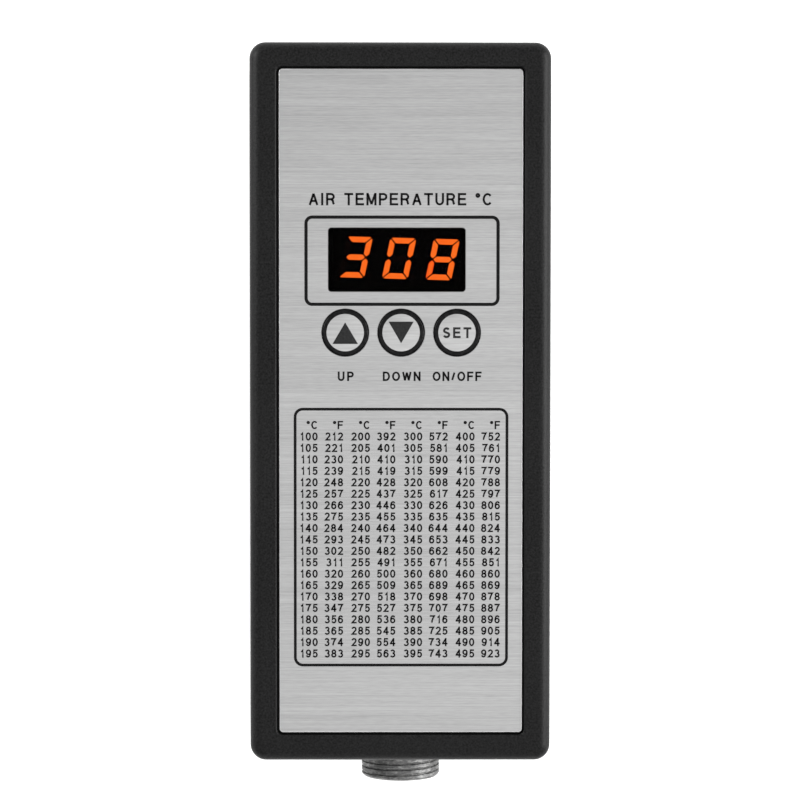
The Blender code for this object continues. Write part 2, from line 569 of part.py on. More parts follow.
# --------------------------------------------------------------- mains inlet
ix, iz = INLET_AT[0], INLET_AT[2]
inlet_body = block("inlet_body", (27.4, 19.4, 19.8), (ix, 70.2, iz), NYLON)
join(inlet_body, block("inlet_flange", (46.0, 2.2, 22.0), (ix, 76.1, iz), group=CUTTERS))
for sx in (-1, 1):
    join(inlet_body, rod(f"flange_boss_{sx + 1}", 2.8, 5.0, (ix + sx * INLET_SCREW_X, 73.2, iz),
                         sides=14, turn=(90, 0, 0), group=CUTTERS))
half, side, flat = 12.1, 8.4, 5.0
recess = [(-half, -side), (half, -side), (half, side - flat), (half - flat, side),
          (-half + flat, side), (-half, side - flat)]
cut(inlet_body, solid_mesh(outline("inlet_recess", recess, 20.0, (ix, 74.0, iz), turn=(90, 0, 0),
                                   group=CUTTERS)))
for sx in (-1, 1):
    hole(inlet_body, 1.65, (ix + sx * INLET_SCREW_X, 74.6, iz), 9.0, turn=(90, 0, 0), sides=12,
         name="boss_pilot")
for word, px, pz in (("line", -7.0, -1.0), ("neutral", 7.0, -1.0), ("earth", 0.0, 3.0)):
    x, z = ix + px, iz + pz
    cut(inlet_body, block(f"slot_{word}", (2.6, 12.0, 4.6), (x, 61.5, z), group=CUTTERS))
    pin = block(f"inlet_pin_{word}", (2.0, 17.6, 4.0), (x, 68.7, z), PLATED, soften=0.4)
    join(pin, block(f"tab_{word}", (0.8, 9.5, 6.3), (x, 55.6, z), group=CUTTERS))

# --------------------------------------------------------------------- leads
for word, px, pz, end, mat in (("line", -7.0, -1.0, -17.0, BROWN_PVC),
                               ("earth", 0.0, 3.0, -12.0, EARTH_PVC),
                               ("neutral", 7.0, -1.0, -7.0, BLUE_PVC)):
    x, z = ix + px, iz + pz
    lead(f"{word}_lead", [(x, 50.5, z), (x - 0.3, 48.5, z - 0.2), ((2 * x + end) / 3, 46.0, z - 2.2),
                          ((x + 2 * end) / 3, 43.2, 18.4), (end, 40.6, 16.6), (end, 37.2, 16.5)],
         1.1, mat, count=16)
lead("handle_harness", [(SOCKET_AT[0], -66.1, 23.5), (0.0, -63.0, 23.5), (-1.2, -59.0, 22.8),
                        (-3.8, -54.5, 20.2), (-6.6, -50.0, 16.9), (-8.0, -45.8, 15.0),
                        (-8.0, -42.6, 14.85)], 2.1, GREY_PVC, count=20)

# flat cable from the display board to the power board, drawn from the side
middle = smooth([(14.0, FRONT_BOARD_Z - 0.3), (14.0, 29.5), (12.4, 24.0), (9.4, 19.0), (7.6, 15.0), (7.4, 11.75)], 12)
edge = [[], []]
for k, p in enumerate(middle):
    ahead, behind = middle[min(k + 1, len(middle) - 1)], middle[max(k - 1, 0)]
    along = (ahead - behind).normalized()
    across = Vector((-along.y, along.x))
    edge[0].append(p + across * 0.5)
    edge[1].append(p - across * 0.5)
strip = [(p.x, p.y) for p in edge[0]] + [(p.x, p.y) for p in reversed(edge[1])]
display_cable = outline("display_cable", strip, 6.0, (-23.0, 0, 0), GREY_PVC, turn=(90, 0, 90))

for obj in PARTS.objects:
    if obj.type == "MESH" and not any(m.type == "SCREW" for m in obj.modifiers):
        obj.data.shade_smooth()
        obj.data.set_sharp_from_angle(angle=math.radians(32))
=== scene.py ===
"""Looks of the bench controller of a hot air rework station.

Lengths in the calls below are millimetres in the case's own frame: X to the
right, Y towards the mains inlet with 0 at the middle of the case, Z up from the
table. P() turns them into the frame's metres.
"""

import json
import math

import bmesh
import bpy
from mathutils import Matrix, Vector, noise


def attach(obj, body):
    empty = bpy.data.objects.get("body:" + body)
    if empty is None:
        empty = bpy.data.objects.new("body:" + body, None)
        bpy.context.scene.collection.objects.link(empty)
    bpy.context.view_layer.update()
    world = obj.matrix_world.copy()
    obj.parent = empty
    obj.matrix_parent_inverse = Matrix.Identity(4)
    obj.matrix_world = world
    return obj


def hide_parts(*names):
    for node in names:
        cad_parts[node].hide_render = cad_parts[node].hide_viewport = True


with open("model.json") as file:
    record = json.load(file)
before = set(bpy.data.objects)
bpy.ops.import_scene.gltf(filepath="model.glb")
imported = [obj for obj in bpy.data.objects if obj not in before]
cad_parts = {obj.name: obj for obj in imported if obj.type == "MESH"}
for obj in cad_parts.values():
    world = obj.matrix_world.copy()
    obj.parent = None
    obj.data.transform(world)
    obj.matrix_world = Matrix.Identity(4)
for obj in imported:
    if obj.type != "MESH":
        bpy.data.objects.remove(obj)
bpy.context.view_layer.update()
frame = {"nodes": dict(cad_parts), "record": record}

MM = 0.001
SHIFT_Y = 3.425
scene = bpy.context.scene

CASE_W, CASE_H, FRONT_Z, SPLIT_Z, BACK_Z, WALL = 67.0, 160.0, 45.0, 10.0, 2.0, 2.5
PLATE_W, PLATE_H, PLATE_AT = 54.2, 147.5, (0.13, 0.24)
PLATE_LOW, PLATE_TOP = 44.1, 44.6
POCKET_W, POCKET_H, POCKET_AT, POCKET_FLOOR = 55.0, 148.4, (0.05, 0.2), 44.0
WINDOW_W, WINDOW_H, WINDOW_AT = 30.4, 14.05, (-0.8, 31.8)
KEYS = {"up": -12.22, "down": 0.17, "set": 12.56}
KEY_Y = 15.65
SOCKET_AT = (0.2, -80.0, 23.5)
INLET_AT = (0.0, 80.0, 23.5)


def P(x, y, z):
    return Vector((x, y + SHIFT_Y, z)) * MM


# ------------------------------------------------------------------ materials
class Finish:
    """A Principled material and short ways to wire textures into it."""

    def __init__(self, name, colour, roughness, metallic=0.0, specular=0.5, coat=0.0,
                 coat_roughness=0.03):
        self.mat = bpy.data.materials.new(name)
        self.mat.use_nodes = True
        self.tree = self.mat.node_tree
        self.shader = self.tree.nodes["Principled BSDF"]
        self.set("Base Color", (*colour, 1.0))
        self.set("Roughness", roughness)
        self.set("Metallic", metallic)
        self.set("Specular IOR Level", specular)
        self.set("Coat Weight", coat)
        self.set("Coat Roughness", coat_roughness)
        self.mat.diffuse_color = (*colour, 1.0)
        self.coords = self.node("ShaderNodeTexCoord").outputs["Object"]
        self.height = None

    def set(self, socket, value):
        self.shader.inputs[socket].default_value = value

    def node(self, kind, **settings):
        made = self.tree.nodes.new(kind)
        for key, value in settings.items():
            if key in made.inputs:
                made.inputs[key].default_value = value
            else:
                setattr(made, key, value)
        return made

    def link(self, a, b):
        self.tree.links.new(a, b)

    def scaled(self, scale, rotation=(0, 0, 0)):
        m = self.node("ShaderNodeMapping")
        m.inputs["Scale"].default_value = scale
        m.inputs["Rotation"].default_value = rotation
        self.link(self.coords, m.inputs["Vector"])
        return m.outputs["Vector"]

    def noise(self, scale, detail=2.0, stretch=None, rough=0.5, rotation=(0, 0, 0)):
        n = self.node("ShaderNodeTexNoise")
        n.inputs["Scale"].default_value = scale
        n.inputs["Detail"].default_value = detail
        n.inputs["Roughness"].default_value = rough
        self.link(self.scaled(stretch, rotation) if stretch else self.coords, n.inputs["Vector"])
        return n.outputs["Fac"]

    def spread(self, value, low, high, a=0.0, b=1.0):
        """value from a..b mapped to low..high."""
        m = self.node("ShaderNodeMapRange")
        m.inputs["From Min"].default_value = a
        m.inputs["From Max"].default_value = b
        m.inputs["To Min"].default_value = low
        m.inputs["To Max"].default_value = high
        self.link(value, m.inputs["Value"])
        return m.outputs["Result"]

    def maths(self, how, a, b):
        m = self.node("ShaderNodeMath", operation=how)
        for socket, value in zip(m.inputs, (a, b)):
            if isinstance(value, (int, float)):
                socket.default_value = value
            else:
                self.link(value, socket)
        return m.outputs["Value"]

    def colours(self, value, stops):
        ramp = self.node("ShaderNodeValToRGB")
        cr = ramp.color_ramp
        while len(cr.elements) < len(stops):
            cr.elements.new(0.5)
        for e, (pos, colour) in zip(cr.elements, stops):
            e.position = pos
            e.color = (*colour, 1.0)
        self.link(value, ramp.inputs["Fac"])
        self.link(ramp.outputs["Color"], self.shader.inputs["Base Color"])
        return ramp.outputs["Color"]

    def roughen(self, value, low, high):
        self.link(self.spread(value, low, high), self.shader.inputs["Roughness"])

    def bump(self, value, depth_mm, strength=1.0):
        b = self.node("ShaderNodeBump")
        b.inputs["Strength"].default_value = strength
        b.inputs["Distance"].default_value = depth_mm * MM
        self.link(value, b.inputs["Height"])
        if self.height is not None:
            self.link(self.height, b.inputs["Normal"])
        self.height = b.outputs["Normal"]
        self.link(self.height, self.shader.inputs["Normal"])


def moulded(name, low, high, roughness, specular, grain_mm, depth_mm, mottle=0.6):
    """Moulded plastic with a fine spark-eroded skin, a little uneven in tone and sheen.

    mottle is how much of the unevenness in tone is broad; the rest follows the grain.
    """
    f = Finish(name, high, roughness, specular=specular)
    broad = f.noise(28.0, 3.0)
    grain = f.noise(1000.0 / grain_mm, 2.0, rough=0.6)
    fine = f.noise(2600.0 / grain_mm, 1.0)
    f.colours(f.maths("ADD", f.maths("MULTIPLY", broad, mottle), f.maths("MULTIPLY", grain, 1 - mottle)),
              [(0.34, low), (0.66, high)])
    f.roughen(grain, roughness - 0.07, roughness + 0.09)
    f.bump(grain, depth_mm)
    f.bump(fine, depth_mm * 0.4)
    return f.mat


BLACK_ABS = moulded("black_abs_skin", (0.0016, 0.0016, 0.0016), (0.0112, 0.0112, 0.0114), 0.43, 0.09,
                    0.42, 0.062, 0.2)
RUBBER = moulded("foot_rubber", (0.007, 0.007, 0.007), (0.014, 0.0135, 0.013), 0.82, 0.2, 0.5, 0.03)
NYLON = moulded("black_nylon_skin", (0.009, 0.009, 0.0095), (0.016, 0.016, 0.0165), 0.42, 0.4,
                0.9, 0.008)
WHITE_NYLON = moulded("white_nylon_skin", (0.62, 0.6, 0.55), (0.72, 0.71, 0.66), 0.45, 0.4, 0.9, 0.008)
BLUE_PLASTIC = moulded("blue_terminal_skin", (0.02, 0.13, 0.38), (0.03, 0.17, 0.45), 0.4, 0.45,
                       0.9, 0.008)
YELLOW = moulded("yellow_wrap", (0.62, 0.42, 0.04), (0.76, 0.56, 0.07), 0.35, 0.5, 2.5, 0.01)
SLEEVE = moulded("capacitor_sleeve_skin", (0.012, 0.014, 0.03), (0.02, 0.024, 0.05), 0.28, 0.5,
                 3.0, 0.004)
FERRITE = moulded("ferrite_skin", (0.03, 0.03, 0.033), (0.055, 0.055, 0.06), 0.7, 0.4, 0.35, 0.03)
BROWN_PVC = moulded("brown_wire", (0.12, 0.045, 0.02), (0.17, 0.065, 0.03), 0.45, 0.45, 3.0, 0.004)
BLUE_PVC = moulded("blue_wire", (0.02, 0.08, 0.34), (0.03, 0.11, 0.42), 0.45, 0.45, 3.0, 0.004)
GREEN_PVC = moulded("earth_wire", (0.12, 0.32, 0.02), (0.42, 0.5, 0.03), 0.45, 0.45, 6.0, 0.004)
GREY_PVC = moulded("grey_wire", (0.2, 0.2, 0.2), (0.28, 0.28, 0.28), 0.5, 0.45, 3.0, 0.004)


def metal(name, low, high, roughness, streak=(1.0, 1.0, 1.0), scale=600.0, depth_mm=0.006):
    """Plated or drawn metal with fine tool marks."""
    f = Finish(name, high, roughness, metallic=1.0)
    marks = f.noise(scale, 3.0, stretch=streak, rough=0.65)
    cloud = f.noise(160.0, 3.0)
    f.colours(f.maths("ADD", f.maths("MULTIPLY", marks, 0.5), f.maths("MULTIPLY", cloud, 0.5)),
              [(0.3, low), (0.68, high)])
    f.roughen(cloud, roughness - 0.08, roughness + 0.12)
    f.bump(marks, depth_mm)
    return f.mat




def worn_plate():
    """Dull plating: blotched, scuffed bright in places and dirty in others."""
    f = Finish("dull_plate", (0.17, 0.17, 0.168), 0.56, metallic=0.88)
    blotch = f.noise(900.0, 3.0, stretch=(0.6, 1.5, 0.8), rough=0.62)
    specks = f.noise(2600.0, 2.0, stretch=(0.6, 1.4, 0.8), rough=0.6)
    tone = f.maths("ADD", f.maths("MULTIPLY", blotch, 0.6), f.maths("MULTIPLY", specks, 0.4))
    f.colours(tone, [(0.34, (0.06, 0.06, 0.06)), (0.5, (0.135, 0.135, 0.134)), (0.66, (0.3, 0.299, 0.294))])
    f.roughen(blotch, 0.44, 0.64)
    f.bump(blotch, 0.02)
    f.bump(specks, 0.006)
    return f.mat


PLATED = worn_plate()
NICKEL = metal("bright_nickel", (0.34, 0.33, 0.31), (0.5, 0.485, 0.45), 0.26)
STEEL = metal("zinc_plate", (0.24, 0.24, 0.235), (0.42, 0.42, 0.41), 0.32)
TINNED = metal("tinned_brass", (0.5, 0.47, 0.4), (0.68, 0.65, 0.56), 0.28)
ALUMINIUM = metal("extruded_aluminium", (0.42, 0.43, 0.44), (0.6, 0.61, 0.62), 0.4, (1.0, 1.0, 0.05))


def brushed_plate():
    """Brushed across the case: long and short hair lines along X."""
    f = Finish("brushed_face", (0.6, 0.6, 0.6), 0.36, metallic=1.0)
    parts = [(f.noise(1.0, 2.0, stretch=(9.0, 3600.0, 20.0), rough=0.65), 0.3),
             (f.noise(1.0, 1.0, stretch=(60.0, 5200.0, 30.0), rough=0.6), 0.28),
             (f.noise(1.0, 1.0, stretch=(420.0, 8000.0, 40.0)), 0.26),
             (f.noise(1.0, 2.0, stretch=(3.0, 330.0, 10.0)), 0.16)]
    hair = None
    for strands, share in parts:
        strands = f.maths("MULTIPLY", strands, share)
        hair = strands if hair is None else f.maths("ADD", hair, strands)
    f.colours(hair, [(0.36, (0.29, 0.29, 0.29)), (0.5, (0.348, 0.348, 0.348)), (0.64, (0.405, 0.405, 0.405))])
    f.roughen(hair, 0.33, 0.43)
    f.bump(hair, 0.006)
    f.set("Anisotropic", 0.55)
    tangent = f.node("ShaderNodeTangent", direction_type="UV_MAP", uv_map="brushing")
    f.link(tangent.outputs["Tangent"], f.shader.inputs["Tangent"])
    return f.mat


def printed(name, colour, roughness=0.42):
    """Screen printing ink: dense, a little uneven."""
    f = Finish(name, colour, roughness, specular=0.1)
    specks = f.noise(2400.0, 2.0)
    f.colours(specks, [(0.25, tuple(c * 0.6 for c in colour)), (0.75, tuple(c * 1.5 for c in colour))])
    f.roughen(specks, roughness - 0.08, roughness + 0.1)
    f.bump(specks, 0.002)
    return f.mat


CUT_EDGE = metal("cut_plate_edge", (0.5, 0.5, 0.5), (0.72, 0.72, 0.72), 0.35, (1.0, 1.0, 1.0), 1500.0, 0.004)
# the plate's hole walls: a darker copy of the edge metal, painted shade in the gaps round the keys and window
HOLE_EDGE_PAINTED_SHADE = metal("plate_hole_edge_painted_shade", (0.1, 0.1, 0.1), (0.17, 0.17, 0.17), 0.5, (1.0, 1.0, 1.0), 1500.0,
                     0.004)
INK = printed("black_ink", (0.002, 0.002, 0.0021), 0.5)
KEY_SIGN = printed("key_sign_ink", (0.013, 0.013, 0.0132), 0.5)
BRUSHED = brushed_plate()


def key_finishes():
    """A key's clear domed skin over its silver disc, and over its printed ring."""
    disc = Finish("key_disc", (0.42, 0.42, 0.42), 0.42, metallic=0.9, coat=0.8, coat_roughness=0.1)
    grain = disc.noise(1.0, 2.0, stretch=(160.0, 2600.0, 40.0))
    disc.colours(grain, [(0.3, (0.35, 0.35, 0.35)), (0.7, (0.43, 0.43, 0.428))])
    disc.roughen(grain, 0.38, 0.5)
    ring = Finish("key_ring", (0.004, 0.004, 0.0042), 0.4, specular=0.05, coat=0.07, coat_roughness=0.2)
    specks = ring.noise(1600.0, 2.0)
    ring.colours(specks, [(0.35, (0.002, 0.002, 0.0022)), (0.65, (0.007, 0.007, 0.0072))])
    ring.bump(specks, 0.002)
    return disc.mat, ring.mat


KEY_DISC, KEY_RING = key_finishes()


def window_finish():
    """A dark polished filter that the lit digits shine through."""
    f = Finish("smoked_filter", (0.0003, 0.0002, 0.0002), 0.05, specular=0.015)
    haze = f.noise(90.0, 2.0)
    f.roughen(haze, 0.035, 0.08)
    f.set("Alpha", 0.62)
    return f.mat


def lit_finish():
    """A lit segment: yellower along its middle, deeper orange towards its rim, a little uneven."""
    f = Finish("lit_segment", (0.9, 0.2, 0.03), 0.6, specular=0.1)
    middle = f.node("ShaderNodeAttribute", attribute_name="glow").outputs["Fac"]
    glow = f.maths("ADD", f.maths("MULTIPLY", middle, 0.6), f.maths("MULTIPLY", f.noise(700.0, 1.0), 0.4))
    ramp = f.node("ShaderNodeValToRGB")
    cr = ramp.color_ramp
    cr.elements[0].position, cr.elements[1].position = 0.05, 0.95
    cr.elements[0].color = (0.72, 0.034, 0.005, 1.0)
    cr.elements[1].color = (0.86, 0.148, 0.014, 1.0)
    f.link(glow, ramp.inputs["Fac"])
    f.link(ramp.outputs["Color"], f.shader.inputs["Emission Color"])
    f.set("Emission Strength", 7.6)
    return f.mat


WINDOW = window_finish()
LIT = lit_finish()
UNLIT = printed("unlit_segment", (0.034, 0.0045, 0.0025), 0.6)
MODULE = moulded("led_module_skin", (0.0002, 0.0002, 0.0002), (0.0004, 0.0004, 0.0004), 0.8, 0.0, 6.0, 0.0)


def laminate():
    f = Finish("solder_resist", (0.015, 0.12, 0.045), 0.32, coat=0.3)
    n = f.noise(260.0, 3.0)
    f.colours(n, [(0.35, (0.012, 0.095, 0.035)), (0.65, (0.02, 0.14, 0.055))])
    f.roughen(n, 0.26, 0.42)
    f.bump(n, 0.01)
    return f.mat


def fuse_glass():
    f = Finish("fuse_tube", (0.75, 0.8, 0.8), 0.06)
    n = f.noise(300.0, 2.0)
    f.roughen(n, 0.04, 0.12)
    f.set("Alpha", 0.5)
    return f.mat


GREEN = laminate()
FUSE = fuse_glass()

BY_SLOT = {
    "black_abs": BLACK_ABS, "brushed_plate": BRUSHED, "smoked_window": WINDOW, "key_face": KEY_DISC,
    "plated_metal": PLATED, "zinc_steel": STEEL, "black_rubber": RUBBER, "black_nylon": NYLON,
    "green_laminate": GREEN, "ferrite": FERRITE, "yellow_tape": YELLOW,
    "anodised_aluminium": ALUMINIUM, "capacitor_sleeve": SLEEVE, "white_nylon": WHITE_NYLON,
    "blue_terminal": BLUE_PLASTIC, "brown_pvc": BROWN_PVC, "blue_pvc": BLUE_PVC,
    "green_yellow_pvc": GREEN_PVC, "grey_pvc": GREY_PVC, "fuse_glass": FUSE,
}
slot_of = {s["node"]: s["material_slot"] for s in frame["record"]["subparts"]}
OWN = {"inlet_pin_line": NICKEL, "inlet_pin_neutral": NICKEL, "inlet_pin_earth": NICKEL,
       "socket_nut": NICKEL}
for node, obj in frame["nodes"].items():
    mat = OWN.get(node) or BY_SLOT[slot_of[node]]
    if not obj.material_slots:
        obj.data.materials.append(mat)
    for s in obj.material_slots:
        s.material = mat


# -------------------------------------------------------------- mesh helpers
def add(name, mesh, *mats):
    obj = bpy.data.objects.new(name, mesh)
    scene.collection.objects.link(obj)
    for m in mats:
        mesh.materials.append(m)
    return obj


def mesh_from(bm, name):
    bmesh.ops.recalc_face_normals(bm, faces=bm.faces)
    mesh = bpy.data.meshes.new(name)
    bm.to_mesh(mesh)
    bm.free()
    return mesh


def upright(e):
    a, b = (v.co for v in e.verts)
    return abs(a.x - b.x) < 1e-8 and abs(a.y - b.y) < 1e-8


def slab(name, w, h, low, high, at, corner, steps, rim=0.0, rim_steps=3, foot_rim=0.0):
    """A block between two heights: upright corners rounded, then its top rim and its
    bottom rim."""
    bm = bmesh.new()
    bmesh.ops.create_cube(bm, size=1.0)
    bmesh.ops.scale(bm, vec=Vector((w, h, high - low)) * MM, verts=bm.verts)
    bmesh.ops.translate(bm, vec=P(at[0], at[1], (low + high) / 2), verts=bm.verts)
    if corner:
        bmesh.ops.bevel(bm, geom=[e for e in bm.edges if upright(e)], offset=corner * MM,
                        offset_type="OFFSET", segments=steps, profile=0.5, affect="EDGES")
    for z, r in ((high, rim), (low, foot_rim)):
        if r:
            edges = [e for e in bm.edges if all(abs(v.co.z - z * MM) < 1e-8 for v in e.verts)]
            bmesh.ops.bevel(bm, geom=edges, offset=r * MM, offset_type="OFFSET",
                            segments=rim_steps, profile=0.5, affect="EDGES")
    return add(name, mesh_from(bm, name))


def drum(name, r, length, at, axis="Z", sides=48, r2=None):
    bm = bmesh.new()
    bmesh.ops.create_cone(bm, cap_ends=True, segments=sides, radius1=r * MM,
                          radius2=(r if r2 is None else r2) * MM, depth=length * MM)
    turn = {"Z": Matrix(), "Y": Matrix.Rotation(math.pi / 2, 4, "X"),
            "X": Matrix.Rotation(math.pi / 2, 4, "Y")}[axis]
    bmesh.ops.transform(bm, matrix=Matrix.Translation(P(*at)) @ turn, verts=bm.verts)
    return add(name, mesh_from(bm, name))


def carve(obj, *tools, how="DIFFERENCE"):
    for t in tools:
        m = obj.modifiers.new("cut", "BOOLEAN")
        m.operation = how
        m.solver = "EXACT"
        m.object = t
    settle(obj)
    for t in tools:
        bpy.data.objects.remove(t, do_unlink=True)
    return obj


def settle(obj):
    """The object's modifiers become its mesh."""
    bpy.context.view_layer.update()
    mesh = bpy.data.meshes.new_from_object(
        obj.evaluated_get(bpy.context.evaluated_depsgraph_get()))
    obj.modifiers.clear()
    obj.data = mesh
    return obj


def ease(obj, width, steps=2, angle=40.0):
    """Breaks the sharp edges and evens the shading of the faces between them."""
    b = obj.modifiers.new("ease", "BEVEL")
    b.width = width * MM
    b.segments = steps
    b.limit_method = "ANGLE"
    b.angle_limit = math.radians(angle)
    b.use_clamp_overlap = True
    b.miter_outer = "MITER_ARC"
    settle(obj)
    obj.data.shade_smooth()
    w = obj.modifiers.new("even", "WEIGHTED_NORMAL")
    w.keep_sharp = True
    w.weight = 80
    settle(obj)
    return obj


def lathe(name, profile, at, axis="Z", steps=96, mats=(), band=None):
    """A profile of (radius, height) spun about an axis. Y points it out of the lower wall.

    band(radius, height) gives each face's material number from its middle.
    """
    bm = bmesh.new()
    rings = []
    for r, z in profile:
        if r < 1e-6:
            rings.append([bm.verts.new((0, 0, z * MM))])
            continue
        rings.append([bm.verts.new((r * MM * math.cos(math.tau * k / steps),
                                    r * MM * math.sin(math.tau * k / steps), z * MM))
                      for k in range(steps)])
    for n, (a, b) in enumerate(zip(rings, rings[1:])):
        mid_r = (profile[n][0] + profile[n + 1][0]) / 2
        mid_z = (profile[n][1] + profile[n + 1][1]) / 2
        for k in range(steps):
            j = (k + 1) % steps
            if len(a) == 1:
                f = bm.faces.new((a[0], b[k], b[j]))
            elif len(b) == 1:
                f = bm.faces.new((a[k], b[0], a[j]))
            else:
                f = bm.faces.new((a[k], b[k], b[j], a[j]))
            f.smooth = True
            if band:
                f.material_index = band(mid_r, mid_z)
    turn = {"Z": Matrix(), "Y": Matrix.Rotation(math.pi / 2, 4, "X"),
            "X": Matrix.Rotation(math.pi / 2, 4, "Y")}[axis]
    bmesh.ops.transform(bm, matrix=Matrix.Translation(P(*at)) @ turn, verts=bm.verts)
    obj = add(name, mesh_from(bm, name), *mats)
    obj.data.set_sharp_from_angle(angle=math.radians(38))
    return obj


def shapes(name, polygons, low, high, mat):
    """Flat outlines with holes as one thin raised layer. A polygon is (outer, holes)."""
    bm = bmesh.new()
    for outer, holes in polygons:
        edges = []
        for loop in (outer, *holes):
            verts = [bm.verts.new(P(x, y, low)) for x, y in loop]
            edges += [bm.edges.new((a, b)) for a, b in zip(verts, verts[1:] + verts[:1])]
        bmesh.ops.triangle_fill(bm, use_beauty=True, edges=edges)
    made = bmesh.ops.extrude_face_region(bm, geom=bm.faces[:])
    top = [v for v in made["geom"] if isinstance(v, bmesh.types.BMVert)]
    bmesh.ops.translate(bm, vec=Vector((0, 0, (high - low) * MM)), verts=top)
    return add(name, mesh_from(bm, name), mat)


def round_rect(x0, y0, x1, y1, r, steps=8):
    """Corner points of a rounded rectangle, anticlockwise."""
    pts = []
    for cx, cy, start in ((x1 - r, y1 - r, 0), (x0 + r, y1 - r, 90), (x0 + r, y0 + r, 180),
                          (x1 - r, y0 + r, 270)):
        for k in range(steps + 1):
            a = math.radians(start + 90 * k / steps)
            pts.append((cx + r * math.cos(a), cy + r * math.sin(a)))
    return pts


def line_frame(x0, y0, x1, y1, width, r):
    return (round_rect(x0, y0, x1, y1, r),
            [round_rect(x0 + width, y0 + width, x1 - width, y1 - width, r - width)[::-1]])


def prism(name, points, y0, y1):
    """An outline of (x, z) points run along Y."""
    bm = bmesh.new()
    face = bm.faces.new([bm.verts.new(P(x, y0, z)) for x, z in points])
    made = bmesh.ops.extrude_face_region(bm, geom=[face])
    bmesh.ops.translate(bm, vec=Vector((0, (y1 - y0) * MM, 0)),
                        verts=[v for v in made["geom"] if isinstance(v, bmesh.types.BMVert)])
    return add(name, mesh_from(bm, name))


def arc(cx, cy, rx, ry, start, end, steps=10):
    return [(cx + rx * math.cos(math.radians(start + (end - start) * k / steps)),
             cy + ry * math.sin(math.radians(start + (end - start) * k / steps)))
            for k in range(steps + 1)]


# Plain grotesque figures and capitals as the middle lines of their strokes, on a cap
# height of 1: glyph -> (width, [strokes]). A stroke that ends where it starts is closed.
SIX = [arc(0.28, 0.31, 0.28, 0.31, 0, 360, 20),
       [(0.0, 0.34), (0.02, 0.6), (0.08, 0.82), (0.18, 0.95), (0.31, 1.0), (0.44, 0.96), (0.52, 0.86),
        (0.54, 0.78)]]
STROKES = {
    "0": (0.56, [arc(0.28, 0.5, 0.28, 0.5, 0, 360, 24)]),
    "1": (0.44, [[(0.04, 0.77), (0.17, 0.82), (0.27, 0.92), (0.31, 1.0), (0.31, 0.0)]]),
    "2": (0.56, [arc(0.28, 0.72, 0.27, 0.28, 170, -32, 12) + [(0.02, 0.0), (0.56, 0.0)]]),
    "3": (0.56, [arc(0.27, 0.76, 0.24, 0.24, 160, -90, 12),
                 arc(0.27, 0.265, 0.285, 0.265, 90, -160, 14)]),
    "4": (0.6, [[(0.45, 0.0), (0.45, 1.0)], [(0.43, 0.98), (0.0, 0.28)], [(0.02, 0.28), (0.6, 0.28)]]),
    "5": (0.56, [[(0.51, 1.0), (0.12, 1.0), (0.05, 0.5)] + arc(0.275, 0.325, 0.28, 0.325, 128, -158, 14)]),
    "6": (0.56, SIX),
    "7": (0.56, [[(0.0, 1.0), (0.56, 1.0), (0.42, 0.76), (0.3, 0.5), (0.22, 0.22), (0.19, 0.0)]]),
    "8": (0.56, [arc(0.28, 0.76, 0.235, 0.24, 0, 360, 18), arc(0.28, 0.26, 0.28, 0.26, 0, 360, 20)]),
    "9": (0.56, [[(0.56 - x, 1 - y) for x, y in line] for line in SIX]),
    "°": (0.26, [arc(0.13, 0.87, 0.13, 0.13, 0, 360, 14)]),
    "/": (0.3, [[(0.0, 0.0), (0.3, 1.0)]]),
    " ": (0.22, []),
    "I": (0.08, [[(0.04, 0.0), (0.04, 1.0)]]),
    "A": (0.74, [[(0.0, -0.08), (0.37, 1.04)], [(0.37, 1.04), (0.74, -0.08)], [(0.16, 0.32), (0.58, 0.32)]]),
    "C": (0.72, [arc(0.38, 0.5, 0.38, 0.5, 40, 320, 18)]),
    "D": (0.7, [[(0.0, 0.0), (0.0, 1.0), (0.3, 1.0)] + arc(0.3, 0.5, 0.4, 0.5, 80, -80, 14)
                + [(0.3, 0.0), (0.0, 0.0)]]),
    "E": (0.62, [[(0.62, 0.0), (0.0, 0.0), (0.0, 1.0), (0.6, 1.0)], [(0.0, 0.52), (0.55, 0.52)]]),
    "F": (0.58, [[(0.0, 0.0), (0.0, 1.0), (0.58, 1.0)], [(0.0, 0.5), (0.5, 0.5)]]),
    "M": (0.78, [[(0.0, 0.0), (0.0, 1.0)], [(0.02, 1.04), (0.39, 0.0)], [(0.39, 0.0), (0.76, 1.04)],
                 [(0.78, 1.0), (0.78, 0.0)]]),
    "N": (0.66, [[(0.0, 0.0), (0.0, 1.0)], [(0.0, 1.02), (0.66, -0.02)], [(0.66, 0.0), (0.66, 1.0)]]),
    "O": (0.8, [arc(0.4, 0.5, 0.4, 0.5, 0, 360, 26)]),
    "P": (0.62, [[(0.0, 0.0), (0.0, 1.0), (0.34, 1.0)] + arc(0.34, 0.735, 0.28, 0.265, 80, -80, 10)
                 + [(0.34, 0.47), (0.0, 0.47)]]),
    "R": (0.68, [[(0.0, 0.0), (0.0, 1.0), (0.36, 1.0)] + arc(0.36, 0.745, 0.28, 0.255, 80, -80, 10)
                 + [(0.36, 0.49), (0.0, 0.49)], [(0.38, 0.49), (0.55, 0.36), (0.6, 0.12), (0.67, 0.0)]]),
    "S": (0.62, [arc(0.31, 0.745, 0.27, 0.255, 25, 225, 12)[:-1]
                 + [(0.2, 0.55), (0.42, 0.47)] + arc(0.31, 0.26, 0.3, 0.26, 45, -160, 13)[1:]]),
    "T": (0.66, [[(0.0, 1.0), (0.66, 1.0)], [(0.33, 1.0), (0.33, 0.0)]]),
    "U": (0.64, [[(0.0, 1.0), (0.0, 0.34)] + arc(0.32, 0.34, 0.32, 0.34, 190, 350, 12) + [(0.64, 0.34), (0.64, 1.0)]]),
    "W": (1.0, [[(0.0, 1.08), (0.25, -0.04)], [(0.25, -0.04), (0.5, 1.0)], [(0.5, 1.0), (0.75, -0.04)],
                [(0.75, -0.04), (1.0, 1.08)]]),
}


